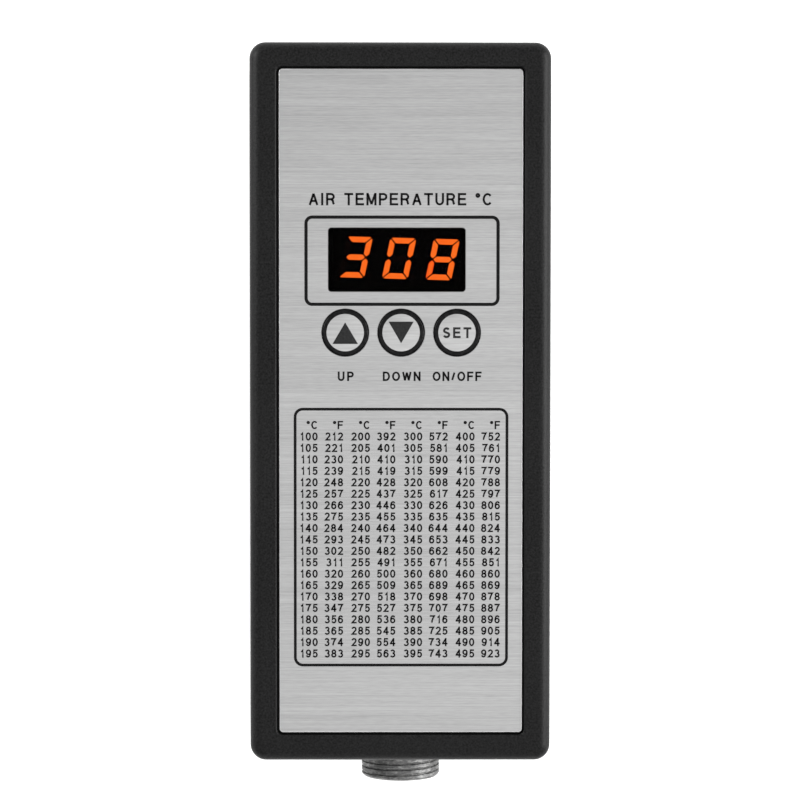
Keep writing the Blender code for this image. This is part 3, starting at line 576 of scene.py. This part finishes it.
def ribbon(bm, points, width, closed, low, high):
    """One printed stroke of even width, mitred at its corners, as a thin raised strip."""
    pts = [Vector(p) for p in points]
    if closed:
        pts = pts[:-1]
    n = len(pts)
    rails = ([], [])
    for i, p in enumerate(pts):
        a = pts[i - 1] if (closed or i) else None
        b = pts[(i + 1) % n] if (closed or i < n - 1) else None
        if a is None:
            a = p - (b - p)
        if b is None:
            b = p + (p - a)
        u, v = (p - a).normalized(), (b - p).normalized()
        normal = Vector((-(u + v).y, (u + v).x))
        if normal.length < 1e-6:
            normal = Vector((-u.y, u.x))
        normal.normalize()
        reach = width / 2 / max(0.45, normal.dot(Vector((-u.y, u.x))))
        rails[0].append(p + normal * reach)
        rails[1].append(p - normal * reach)
    grid = [[bm.verts.new(P(q.x, q.y, z)) for q in rail] for rail in rails for z in (low, high)]
    left_low, left_high, right_low, right_high = grid
    spans = range(n if closed else n - 1)
    for i in spans:
        j = (i + 1) % n
        bm.faces.new((left_high[j], left_high[i], right_high[i], right_high[j]))
        bm.faces.new((left_low[i], left_low[j], right_low[j], right_low[i]))
        bm.faces.new((left_high[i], left_high[j], left_low[j], left_low[i]))
        bm.faces.new((right_low[i], right_low[j], right_high[j], right_high[i]))
    if not closed:
        for i in (0, n - 1):
            bm.faces.new((left_low[i], right_low[i], right_high[i], left_high[i]))


def lettering(body, cap, x, y, align="LEFT", width=None, stroke=0.14, gap=0.2,
              low=PLATE_TOP, high=PLATE_TOP + 0.02, step=None):
    """A line of plain figures or capitals as a mesh, its baseline at y. cap is its full height,
    stroke and gap are shares of it, width spaces the line out to that length, and step splits
    its straight strokes so that they can follow a curved face."""
    w = stroke * cap
    body_scale = cap - w
    widths = [STROKES[c][0] * body_scale + w for c in body]
    space = gap * cap
    if width is not None and len(body) > 1:
        space = (width - sum(widths)) / (len(body) - 1)
    total = sum(widths) + space * (len(body) - 1)
    at = x - {"LEFT": 0.0, "CENTER": total / 2, "RIGHT": total}[align]
    bm = bmesh.new()
    for c, wide in zip(body, widths):
        for line in STROKES[c][1]:
            pts = [(at + w / 2 + px * body_scale, y + w / 2 + py * body_scale) for px, py in line]
            closed = (Vector(pts[0]) - Vector(pts[-1])).length < 1e-4
            for end, before in ((0, 1), (-1, -2)):
                # a straight stroke's square end reaches the full height or width of the letter
                a, b = Vector(pts[end]), Vector(pts[before])
                if not closed and min(abs(a.x - b.x), abs(a.y - b.y)) < 1e-4:
                    pts[end] = tuple(a + (a - b).normalized() * w / 2)
            if step:
                whole, pts = pts, [pts[0]]
                for a, b in zip(whole, whole[1:]):
                    a, b = Vector(a), Vector(b)
                    parts = max(1, math.ceil((b - a).length / step))
                    pts += [tuple(a.lerp(b, k / parts)) for k in range(1, parts + 1)]
            ribbon(bm, pts, w, closed, low, high)
        at += wide + space
    bmesh.ops.recalc_face_normals(bm, faces=bm.faces)
    mesh = bpy.data.meshes.new("line")
    bm.to_mesh(mesh)
    bm.free()
    return mesh


def joined(name, meshes, mat):
    bm = bmesh.new()
    for m in meshes:
        bm.from_mesh(m)
        bpy.data.meshes.remove(m)
    mesh = bpy.data.meshes.new(name)
    bm.to_mesh(mesh)
    bm.free()
    mesh.materials.clear()
    return add(name, mesh, mat)


# -------------------------------------------------------------- front housing
housing = slab("housing_shell", CASE_W, CASE_H, SPLIT_Z, FRONT_Z, (0, 0), 3.6, 12, 2.8, 9)
carve(housing, slab("t2", POCKET_W, POCKET_H, POCKET_FLOOR, FRONT_Z + 2, POCKET_AT, 1.3, 8))
bm = bmesh.new()
bm.from_mesh(housing.data)
pocket_rim = [e for e in bm.edges if len(e.link_faces) == 2 and e.calc_face_angle() > 1.0
              and all(abs(v.co.z - FRONT_Z * MM) < 1e-6 for v in e.verts)
              and all(abs(v.co.x) < 28.5 * MM and abs(v.co.y - SHIFT_Y * MM) < 75.5 * MM for v in e.verts)]
bmesh.ops.bevel(bm, geom=pocket_rim, offset=0.4 * MM, offset_type="OFFSET", segments=4, profile=0.5,
                affect="EDGES")
bm.to_mesh(housing.data)
bm.free()
tools = [
    slab("t1", CASE_W - 2 * WALL, CASE_H - 2 * WALL, SPLIT_Z - 5, FRONT_Z - WALL, (0, 0), 1.1, 3),
    slab("t3", 33.6, 17.2, 43.0, POCKET_FLOOR + 1, WINDOW_AT, 0.8, 3),
    slab("t4", 31.4, 15.4, 40.0, POCKET_FLOOR + 1, WINDOW_AT, 0.6, 3),
    *[drum(f"t5{n}", 6.05, 4.0, (x, KEY_Y, 43.5)) for n, x in enumerate(KEYS.values())],
    drum("t6", 9.05, 8.0, (SOCKET_AT[0], -79.0, SOCKET_AT[2]), "Y", 64),
    slab("t7", 28.0, 8.0, 13.3, 33.7, (0, 79.0), 0, 1),
]
for n, sx in enumerate((-1, 1)):
    x = INLET_AT[0] + sx * 20.0
    tools.append(drum(f"t8{n}", 1.8, 8.0, (x, 79.0, 23.5), "Y", 32))
    tools.append(drum(f"t9{n}", 3.55, 1.7, (x, 79.3, 23.5), "Y", 40, r2=1.85))
carve(housing, *tools)
groove = slab("t10", POCKET_W, POCKET_H, 43.2, POCKET_FLOOR + 0.3, POCKET_AT, 1.3, 8)
carve(groove, slab("t11", POCKET_W - 1.5, POCKET_H - 1.5, 42.0, 46.0, POCKET_AT, 0.6, 8))
carve(housing, groove)
housing.data.materials.clear()
housing.data.materials.append(BLACK_ABS)
ease(housing, 0.28, 3)
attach(housing, "case")
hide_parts("front_housing")

# ----------------------------------------------------------------- rear cover
CASE_SCREWS = [(sx * 26.4, sy * 69.5) for sx in (-1, 1) for sy in (-1, 1)]
FEET = [(sx * 24.5, sy * 56.0) for sx in (-1, 1) for sy in (-1, 1)]
STANDOFFS = ((-23.5, -58.0), (23.5, -58.0), (-23.5, 54.0), (23.5, 54.0))
INNER_W, INNER_H = CASE_W - 2 * WALL, CASE_H - 2 * WALL
cover = slab("rear_shell", CASE_W, CASE_H, BACK_Z, SPLIT_Z - 0.3, (0, 0), 3.6, 12, 0.0, 6, foot_rim=1.8)
carve(cover, slab("t1", INNER_W - 0.6, INNER_H - 0.6, 9.0, 12.0, (0, 0), 0.9, 3), how="UNION")
carve(cover, slab("t2", INNER_W, INNER_H, BACK_Z + WALL, 6.6, (0, 0), 1.1, 3),
      slab("t3", INNER_W - 2.6, INNER_H - 2.6, 6.0, 13.0, (0, 0), 0.5, 3))
carve(cover, *[drum(f"u{n}", 4.4, 4.2, (x, y, 5.4)) for n, (x, y) in enumerate(CASE_SCREWS)],
      *[drum(f"v{n}", 3.0, 6.2, (x, y, 6.5), sides=32) for n, (x, y) in enumerate(STANDOFFS)], how="UNION")
tools = [drum(f"w{n}", 3.3, 4.0, (x, y, 3.5), sides=40) for n, (x, y) in enumerate(CASE_SCREWS)]
tools += [drum(f"x{n}", 1.8, 4.0, (x, y, 6.5), sides=24) for n, (x, y) in enumerate(CASE_SCREWS)]
tools += [drum(f"y{n}", 1.45, 6.0, (x, y, 7.4), sides=24) for n, (x, y) in enumerate(STANDOFFS)]
tools += [drum(f"z{n}", 5.0, 2.0, (x, y, 1.6), sides=56) for n, (x, y) in enumerate(FEET)]
tools.append(slab("t4", 27.0, 3.0, 9.8, 13.4, (SOCKET_AT[0], -76.6), 0, 1))
tools += [slab(f"vent{row}{k}", 2.2, 24.0, 0.2, 6.2, ((k - 3) * 5.0, y), 1.08, 6)
          for row, y in enumerate((-26.0, 26.0)) for k in range(7)]
carve(cover, *tools)
cover.data.materials.clear()
cover.data.materials.append(BLACK_ABS)
ease(cover, 0.25, 3)
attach(cover, "case")
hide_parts("rear_cover")

# ----------------------------------------------------------------- face plate
plate = slab("brushed_face_plate", PLATE_W, PLATE_H, PLATE_LOW, PLATE_TOP, PLATE_AT, 0.9, 6, 0.25, 3)
tools = [slab("t1", WINDOW_W, WINDOW_H, PLATE_LOW - 2, PLATE_TOP + 2, WINDOW_AT, 0.7, 6)]
tools += [drum(f"t2{n}", 5.25, 4.0, (x, KEY_Y, 44.3), sides=96) for n, x in enumerate(KEYS.values())]
carve(plate, *tools)
plate.data.materials.clear()
plate.data.materials.append(BRUSHED)
ease(plate, 0.12, 3)
plate.data.materials.append(CUT_EDGE)
# the hole walls get the darker copy of the edge metal, which paints shade into them
plate.data.materials.append(HOLE_EDGE_PAINTED_SHADE)
for face in plate.data.polygons:
    if face.normal.z < 0.97:
        off = face.center - P(*PLATE_AT, 0)
        outer = abs(off.x) > (PLATE_W / 2 - 0.6) * MM or abs(off.y) > (PLATE_H / 2 - 0.6) * MM
        # index 2 is the painted shade on the walls of the window and key holes
        face.material_index = 1 if outer else 2
uv = plate.data.uv_layers.new(name="brushing")
for loop in plate.data.loops:
    co = plate.data.vertices[loop.vertex_index].co
    uv.data[loop.index].uv = (co.x * 10 + 0.5, co.y * 10 + 0.5)
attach(plate, "case")
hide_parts("face_plate")

# ----------------------------------------------------------------- panel print
INK_TOP = PLATE_TOP + 0.02
frames = shapes("panel_print_frames", [
    line_frame(-21.25, 21.57, 21.99, 41.56, 0.72, 1.7),
    line_frame(-23.66, -58.68, 24.0, -1.02, 0.62, 2.0),
], PLATE_TOP, INK_TOP, INK)
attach(frames, "case")

words = [
    lettering("AIR TEMPERATURE °C", 2.74, 0.0, 43.8, "CENTER", 40.6, 0.175),
    lettering("UP", 2.1, -12.1, 4.92, "CENTER", None, 0.2, 0.28),
    lettering("DOWN", 2.1, 0.3, 4.92, "CENTER", None, 0.2, 0.22),
    lettering("ON/OFF", 2.1, 12.6, 4.92, "CENTER", None, 0.2, 0.2),
]
# a plain conversion table: 21 rows, four pairs of figures to a row
for row in range(21):
    y = -4.85 - row * 2.547 - 0.92
    for col in range(4):
        right_c, right_f = -18.35 + col * 11.62, -12.7 + col * 11.62
        if row == 0:
            pair = ("°C", "°F")
        else:
            c = 100 + (row - 1) * 5 + col * 100
            pair = (str(c), str(round(c * 9 / 5 + 32)))
        words.append(lettering(pair[0], 1.84, right_c, y, "RIGHT", None, 0.19, 0.16))
        words.append(lettering(pair[1], 1.84, right_f, y, "RIGHT", None, 0.19, 0.16))
print_block = joined("panel_print_numbers", words, INK)
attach(print_block, "case")

# ------------------------------------------------------------- display window
lens = slab("window_lens", 33.0, 16.6, 43.1, 43.9, WINDOW_AT, 0.6, 4)
carve(lens, slab("t1", 30.0, 13.65, 43.5, 44.4, WINDOW_AT, 0.55, 6), how="UNION")
lens.data.materials.clear()
lens.data.materials.append(WINDOW)
ease(lens, 0.1, 3)
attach(lens, "case")
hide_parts("display_window")

# the module's face, its bars moulded in, three digits of seven bars and a point
MODULE_TOP = 42.8
DIGIT_H, DIGIT_W, BAR, GAP, SLANT = 9.1, 5.75, 1.22, 0.2, math.tan(math.radians(10.5))
skew = Matrix.Rotation(math.radians(-1.6), 4, "Z")


def bars():
    """Seven mitred bars, named as on a data sheet, centred on the digit before slanting."""
    w, h, t = DIGIT_W / 2 - BAR / 2, DIGIT_H / 2 - BAR / 2, BAR / 2
    g = GAP

    def across(y, cut_up, cut_down):
        return [(-w + g, y), (-w + g + t * cut_up, y + t), (w - g - t * cut_up, y + t),
                (w - g, y), (w - g - t * cut_down, y - t), (-w + g + t * cut_down, y - t)]

    def outer_across(y, side):
        return [(-w + g - t * 0.75, y + side * t * 0.75), (-w + g - t * 0.4, y + side * t), (w - g + t * 0.4, y + side * t),
                (w - g + t * 0.75, y + side * t * 0.75), (w - g - t, y - side * t), (-w + g + t, y - side * t)]

    def down(x, y_top, y_low, side, top_outer, low_outer):
        pts = []
        if top_outer:
            pts += [(x - side * t, y_top - g - t), (x + side * t * 0.75, y_top - g + t * 0.75),
                    (x + side * t, y_top - g + t * 0.4)]
        else:
            pts += [(x - side * t, y_top - g - t), (x, y_top - g), (x + side * t, y_top - g - t)]
        if low_outer:
            pts += [(x + side * t, y_low + g - t * 0.4), (x + side * t * 0.75, y_low + g - t * 0.75),
                    (x - side * t, y_low + g + t)]
        else:
            pts += [(x + side * t, y_low + g + t), (x, y_low + g), (x - side * t, y_low + g + t)]
        return pts

    return {
        "a": outer_across(h, 1), "d": outer_across(-h, -1), "g": across(0.0, 1.0, 1.0),
        "b": down(w, h, 0.0, 1, True, False), "c": down(w, 0.0, -h, 1, False, True),
        "f": down(-w, h, 0.0, -1, True, False), "e": down(-w, 0.0, -h, -1, False, True),
    }


LIT_BARS = {"3": "abcdg", "0": "abcdef", "8": "abcdefg"}
lit, dark = [], []
for (cx, cy), figure in zip(((-9.94, 32.4), (-0.27, 32.14), (9.38, 31.88)), "308"):
    for word, pts in bars().items():
        placed = []
        for x, y in pts:
            v = skew @ Vector((x + y * SLANT, y, 0))
            placed.append((cx + v.x, cy + v.y))
        (lit if word in LIT_BARS[figure] else dark).append((placed, []))
    centre = skew @ Vector((DIGIT_W / 2 + 0.95 - DIGIT_H / 2 * SLANT, -DIGIT_H / 2 + 0.6, 0))
    dark.append(([(cx + centre.x + 0.55 * math.cos(math.tau * k / 16),
                   cy + centre.y + 0.55 * math.sin(math.tau * k / 16)) for k in range(16)], []))


def softened(points, r, steps=3):
    """An outline with its corners rounded, each by no more than its shorter side allows."""
    made = []
    for i, p in enumerate(points):
        p = Vector(p)
        a, b = Vector(points[i - 1]) - p, Vector(points[(i + 1) % len(points)]) - p
        reach = min(r, a.length * 0.4, b.length * 0.4)
        start, end = p + a.normalized() * reach, p + b.normalized() * reach
        for k in range(steps + 1):
            u = k / steps
            made.append(start * (1 - u) ** 2 + p * 2 * u * (1 - u) + end * u * u)
    return made


def glowing(name, polygons, low, high, rim, mat):
    """Bars with softened corners. Their "glow" runs from 0 at the edge to 1 at rim inside it."""
    bm = bmesh.new()
    glow = bm.verts.layers.float.new("glow")
    for points, _ in polygons:
        outline = softened(points, 0.22)
        old_faces, old_verts = set(bm.faces), set(bm.verts)
        face = bm.faces.new([bm.verts.new(P(p.x, p.y, low)) for p in outline])
        bmesh.ops.triangulate(bm, faces=[face])
        faces = [f for f in bm.faces if f not in old_faces]
        bmesh.ops.subdivide_edges(bm, edges=list({e for f in faces for e in f.edges}), cuts=3,
                                  use_grid_fill=True)
        faces = [f for f in bm.faces if f not in old_faces]
        made = bmesh.ops.extrude_face_region(bm, geom=faces)
        bmesh.ops.translate(bm, vec=Vector((0, 0, (high - low) * MM)),
                            verts=[e for e in made["geom"] if isinstance(e, bmesh.types.BMVert)])
        for v in bm.verts:
            if v in old_verts:
                continue
            at = Vector((v.co.x / MM, v.co.y / MM - SHIFT_Y))
            near = 9.0
            for p, q in zip(outline, outline[1:] + outline[:1]):
                along = q - p
                u = min(1.0, max(0.0, (at - p).dot(along) / max(1e-9, along.dot(along))))
                near = min(near, (p + along * u - at).length)
            v[glow] = min(1.0, near / rim)
    return add(name, mesh_from(bm, name), mat)


lit_bars = glowing("lit_bars", lit, MODULE_TOP, MODULE_TOP + 0.05, 0.42, LIT)
dark_bars = glowing("unlit_bars", dark, MODULE_TOP, MODULE_TOP + 0.03, 0.2, UNLIT)
for o in (lit_bars, dark_bars):
    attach(o, "case")
frame["nodes"]["display_module"].material_slots[0].material = MODULE


# ----------------------------------------------------------------------- keys
def dome(r):
    """Height of a key's face at a radius."""
    return 44.98 - 0.32 * (r / 5.05) ** 2.2


for word, kx in KEYS.items():
    profile = [(0.0, dome(0.0))] + [(r, dome(r)) for r in (0.7, 1.4, 2.1, 2.8, 3.5, 3.9, 4.145)]
    profile += [(4.155, dome(4.15)), (4.5, dome(4.5)), (4.75, dome(4.75)), (4.92, dome(4.92) - 0.01),
                (5.02, 44.58), (5.05, 44.5), (5.05, 43.75), (5.7, 43.75), (5.7, 43.1), (1.8, 43.1),
                (1.8, 41.5), (0.0, 41.5)]
    cap = lathe(f"key_cap_{word}", profile, (kx, KEY_Y, 0), steps=96, mats=(KEY_DISC, KEY_RING),
                band=lambda r, z: 0 if r < 4.15 and z > 44.5 else 1)
    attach(cap, f"{word}_key")
    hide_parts(f"key_{word}")

    if word == "set":
        mesh = lettering("SET", 2.4, kx, KEY_Y - 1.2, "CENTER", None, 0.2, 0.26, 0.0, 0.016, 0.3)
    else:
        if word == "up":
            corners = [(-2.82, -2.5), (2.82, -2.5), (0.0, 2.27)]
        else:
            corners = [(-2.78, 2.45), (0.0, -2.36), (2.78, 2.45)]
        bm = bmesh.new()
        bm.faces.new([bm.verts.new(P(kx + x, KEY_Y + y, 0.0)) for x, y in corners])
        bmesh.ops.triangulate(bm, faces=bm.faces[:])
        bmesh.ops.subdivide_edges(bm, edges=bm.edges[:], cuts=11, use_grid_fill=True)
        made = bmesh.ops.extrude_face_region(bm, geom=bm.faces[:])
        bmesh.ops.translate(bm, vec=(0, 0, 0.015 * MM),
                            verts=[v for v in made["geom"] if isinstance(v, bmesh.types.BMVert)])
        bmesh.ops.recalc_face_normals(bm, faces=bm.faces)
        mesh = bpy.data.meshes.new("glyph")
        bm.to_mesh(mesh)
        bm.free()
    centre = P(kx, KEY_Y, 0)
    for v in mesh.vertices:
        r = math.hypot(v.co.x - centre.x, v.co.y - centre.y) / MM
        v.co.z += (dome(r) + 0.002) * MM
    glyph = joined(f"key_sign_{word}", [mesh], KEY_SIGN)
    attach(glyph, f"{word}_key")

# -------------------------------------------------------------- handle socket
# turned shell with a real helical thread
ROOT, CREST, PITCH, MOUTH, BORE = 8.7, 8.94, 1.25, 6.85, 7.3
AROUND = 128
heights = [1.65 + (MOUTH - 1.65) * k / 104 for k in range(105)]


def thread_radius(z, turn):
    """The thread's helix, a little worn: its grooves wander and its crests are dented."""
    around = math.tau * turn
    at = Vector((8.9 * math.cos(around), 8.9 * math.sin(around), z))
    wander = noise.noise(at * Vector((0.55, 0.55, 0.9)) + Vector((3.1, 0.0, 0.0)))
    dents = noise.noise(at * 1.9)
    phase = ((z - 0.24) / PITCH - turn + 0.06 * wander) % 1.0
    tooth = min(1.0, max(0.0, (0.5 - abs(phase - 0.5)) * 2 * 2.6 - 0.16))
    tooth = tooth * tooth * (3.0 - 2.0 * tooth)
    plain = 1.0 - min(1.0, max(0.0, (z - 2.4) / 0.4))
    r = ROOT + (CREST - ROOT) * max(tooth, plain) + 0.022 * dents
    return min(r, 8.45 + (MOUTH - z) * 1.0)


bm = bmesh.new()
rows = []
for z in heights:
    rows.append([bm.verts.new((thread_radius(z, k / AROUND) * MM * math.cos(math.tau * k / AROUND),
                               thread_radius(z, k / AROUND) * MM * math.sin(math.tau * k / AROUND),
                               z * MM)) for k in range(AROUND)])
rest = [(7.5, MOUTH), (BORE, MOUTH - 0.2), (BORE, -9.5), (8.75, -9.5), (8.75, 0.2), (10.9, 0.2),
        (11.1, 0.4), (11.1, 1.4), (10.85, 1.65), (8.6, 1.65)]
for r, z in rest:
    rows.append([bm.verts.new((r * MM * math.cos(math.tau * k / AROUND),
                               r * MM * math.sin(math.tau * k / AROUND), z * MM))
                 for k in range(AROUND)])
for a, b in zip(rows, rows[1:] + rows[:1]):
    for k in range(AROUND):
        j = (k + 1) % AROUND
        f = bm.faces.new((a[k], b[k], b[j], a[j]))
        f.smooth = True
bmesh.ops.transform(bm, matrix=Matrix.Translation(P(*SOCKET_AT)) @ Matrix.Rotation(math.pi / 2, 4, "X"),
                    verts=bm.verts)
socket = add("socket_barrel", mesh_from(bm, "socket_barrel"), PLATED)
socket.data.set_sharp_from_angle(angle=math.radians(50))
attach(socket, "case")
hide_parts("socket_shell")

insert = lathe("socket_insulator", [
    (0.0, -1.6), (6.4, -1.6), (6.7, -1.75), (7.0, -2.1), (7.0, -9.0), (0.0, -9.0),
], SOCKET_AT, "Y", 64, (NYLON,))
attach(insert, "case")
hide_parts("socket_insert")
pin_meshes = []
for px, pz in [(0.0, 0.0)] + [(4.6 * math.cos(math.tau * k / 7), 4.6 * math.sin(math.tau * k / 7))
                              for k in range(7)]:
    pin = lathe("pin", [(0.0, 2.2), (0.35, 2.12), (0.62, 1.9), (0.75, 1.55), (0.75, -1.7),
                        (0.0, -1.7)],
                (SOCKET_AT[0] + px, SOCKET_AT[1], SOCKET_AT[2] + pz), "Y", 20)
    pin_meshes.append(pin.data)
    bpy.data.objects.remove(pin, do_unlink=True)
pins = joined("socket_contacts", pin_meshes, TINNED)
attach(pins, "case")

# --------------------------------------------------------------- mains inlet
INLET_SCREW_X = 20.0
inlet = prism("inlet_moulding", round_rect(-13.7, 13.6, 13.7, 33.4, 1.1, 5), 60.5, 79.9)
carve(inlet, prism("t1", round_rect(-23.0, 12.5, 23.0, 34.5, 2.2, 5), 75.0, 77.2),
      *[drum(f"t2{n}", 2.8, 5.0, (sx * INLET_SCREW_X, 73.2, 23.5), "Y", 32)
        for n, sx in enumerate((-1, 1))], how="UNION")
half, side, flat = 12.1, 8.4, 5.0
mouth = prism("t3", [(-half, 23.5 - side), (half, 23.5 - side), (half, 23.5 + side - flat),
                     (half - flat, 23.5 + side), (-half + flat, 23.5 + side), (-half, 23.5 + side - flat)],
              64.0, 82.0)
ease(mouth, 0.8, 3, 30.0)
tools = [mouth]
PINS = {"line": (-7.0, 22.5), "neutral": (7.0, 22.5), "earth": (0.0, 26.5)}
for word, (x, z) in PINS.items():
    tools.append(slab(f"t4{word}", 2.6, 12.0, z - 2.3, z + 2.3, (x, 61.5), 0, 1))
tools += [drum(f"t5{n}", 1.65, 9.0, (sx * INLET_SCREW_X, 74.6, 23.5), "Y", 24)
          for n, sx in enumerate((-1, 1))]
carve(inlet, *tools)
inlet.data.materials.clear()
inlet.data.materials.append(NYLON)
ease(inlet, 0.22, 3)
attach(inlet, "case")
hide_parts("inlet_body")

for word, (x, z) in PINS.items():
    blade = slab(f"inlet_blade_{word}", 2.0, 17.6, z - 2.0, z + 2.0, (x, 68.7), 0, 1)
    ease(blade, 0.55, 4)
    carve(blade, slab("t1", 0.8, 9.5, z - 3.15, z + 3.15, (x, 55.6), 0, 1), how="UNION")
    blade.data.materials.clear()
    blade.data.materials.append(NICKEL)
    blade.data.shade_smooth()
    blade.data.set_sharp_from_angle(angle=math.radians(35))
    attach(blade, "case")
    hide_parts(f"inlet_pin_{word}")


def screw(name, node, at, turn, head, shank_r, length, slot, depth):
    """A cross-recessed screw. head is its outline down from the crown, its bearing side at 0."""
    at_zero = (0.0, -SHIFT_Y, 0.0)
    crown = head[0][1]
    made = lathe(name, head + [(shank_r, -length + 0.8), (shank_r * 0.45, -length), (0.0, -length)],
                 at_zero, "Z", 48)
    cross = [slab(f"s{k}", w, h, crown - depth, crown + 1.0, at_zero[:2], 0, 1)
             for k, (w, h) in enumerate(((slot, slot * 0.24), (slot * 0.24, slot)))]
    cross.append(drum("s2", slot * 0.1, depth + 1.0, (0.0, -SHIFT_Y, crown + (1.0 - depth) / 2), "Z", 16,
                      r2=slot * 0.34))
    carve(made, *cross)
    made.data.materials.clear()
    made.data.materials.append(STEEL)
    ease(made, 0.05, 2, 34.0)
    made.data.transform(Matrix.Translation(P(*at)) @ turn)
    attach(made, "case")
    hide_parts(node)


for n, (x, y) in enumerate(CASE_SCREWS):
    screw(f"cover_screw_{n + 1}", f"case_screw_{n + 1}", (x, y, 5.3), Matrix.Rotation(math.pi, 4, "X"),
          [(0.0, 1.9), (1.0, 1.86), (1.7, 1.7), (2.3, 1.4), (2.65, 1.0), (2.8, 0.6), (2.8, 0.0), (1.4, 0.0)],
          1.4, 11.0, 3.0, 1.1)
for n, sx in enumerate((-1, 1)):
    screw(f"inlet_fixing_{n + 1}", f"inlet_screw_{n + 1}", (sx * INLET_SCREW_X, 78.35, 23.5),
          Matrix.Rotation(-math.pi / 2, 4, "X"),
          [(0.0, 1.5), (1.4, 1.48), (2.5, 1.42), (2.75, 1.32), (2.72, 1.16), (1.4, 0.0)], 1.4, 7.2, 2.9, 1.0)

# ----------------------------------------------------------------------- feet
for n, (x, y) in enumerate(FEET):
    foot = lathe(f"rubber_foot_{n + 1}", [
        (0.0, 2.45), (4.6, 2.45), (4.7, 2.35), (4.7, 0.8), (4.6, 0.42), (4.35, 0.13), (4.0, 0.0),
        (2.4, 0.0), (2.0, 0.12), (1.2, 0.25), (0.0, 0.3),
    ], (x, y, 0), "Z", 56, (RUBBER,))
    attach(foot, "case")
    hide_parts(f"foot_{n + 1}")

# ---------------------------------------------------------------------- stage
bpy.ops.mesh.primitive_plane_add(size=6.0, location=(0, 0, 0))
floor = bpy.context.object
floor.name = "floor"
paper = Finish("pale_floor", (0.92, 0.92, 0.92), 0.8, specular=0.1)
tone = paper.noise(6.0, 2.0)
paper.colours(tone, [(0.3, (0.915, 0.915, 0.915)), (0.7, (0.93, 0.93, 0.93))])
paper.set("Emission Color", (1.0, 1.0, 1.0, 1.0))
paper.set("Emission Strength", 0.14)
floor.data.materials.append(paper.mat)

world = bpy.data.worlds.new("studio")
scene.world = world
world.use_nodes = True
world.node_tree.nodes["Background"].inputs["Color"].default_value = (1.0, 1.0, 1.0, 1.0)
world.node_tree.nodes["Background"].inputs["Strength"].default_value = 0.62


def softbox(name, at, aim, width, height, watts):
    light = bpy.data.lights.new(name, "AREA")
    light.shape = "RECTANGLE"
    light.size, light.size_y = width, height
    light.energy = watts
    obj = bpy.data.objects.new(name, light)
    scene.collection.objects.link(obj)
    obj.location = at
    obj.rotation_euler = (Vector(aim) - Vector(at)).to_track_quat("-Z", "Y").to_euler()
    return obj


softbox("overhead", (0.1, -0.35, 1.0), (0, -0.05, 0), 0.9, 1.2, 3.0)
softbox("from_right", (1.1, 0.1, 0.46), (0, 0, 0.02), 0.9, 0.4, 27.5)
softbox("from_left", (-1.05, 0.5, 0.46), (0, 0, 0.02), 0.4, 0.25, 19.0)
softbox("from_top", (0.1, 1.3, 0.3), (0, 0, 0.02), 1.0, 0.4, 2.2)
softbox("from_low", (0.0, -1.3, 0.5), (0, 0, 0.02), 1.0, 0.4, 3.1)

# --------------------------------------------------------------------- camera
camera = bpy.data.objects.new("camera", bpy.data.cameras.new("camera"))
scene.collection.objects.link(camera)
camera.data.sensor_width = 36.0
camera.data.lens = 2332.1343 / 800.0 * 36.0
camera.data.clip_start, camera.data.clip_end = 0.01, 20.0
tx, ty, roll = 0.0349, 0.0060, -0.0003
into_camera = (Matrix.Rotation(roll, 3, "Z") @ Matrix.Rotation(ty, 3, "Y")
               @ Matrix.Rotation(tx, 3, "X"))
camera.matrix_world = (Matrix.Translation(P(-3.1763, 18.7691, 561.8217))
                       @ into_camera.transposed().to_4x4())
scene.camera = camera
scene.view_settings.view_transform = "Standard"
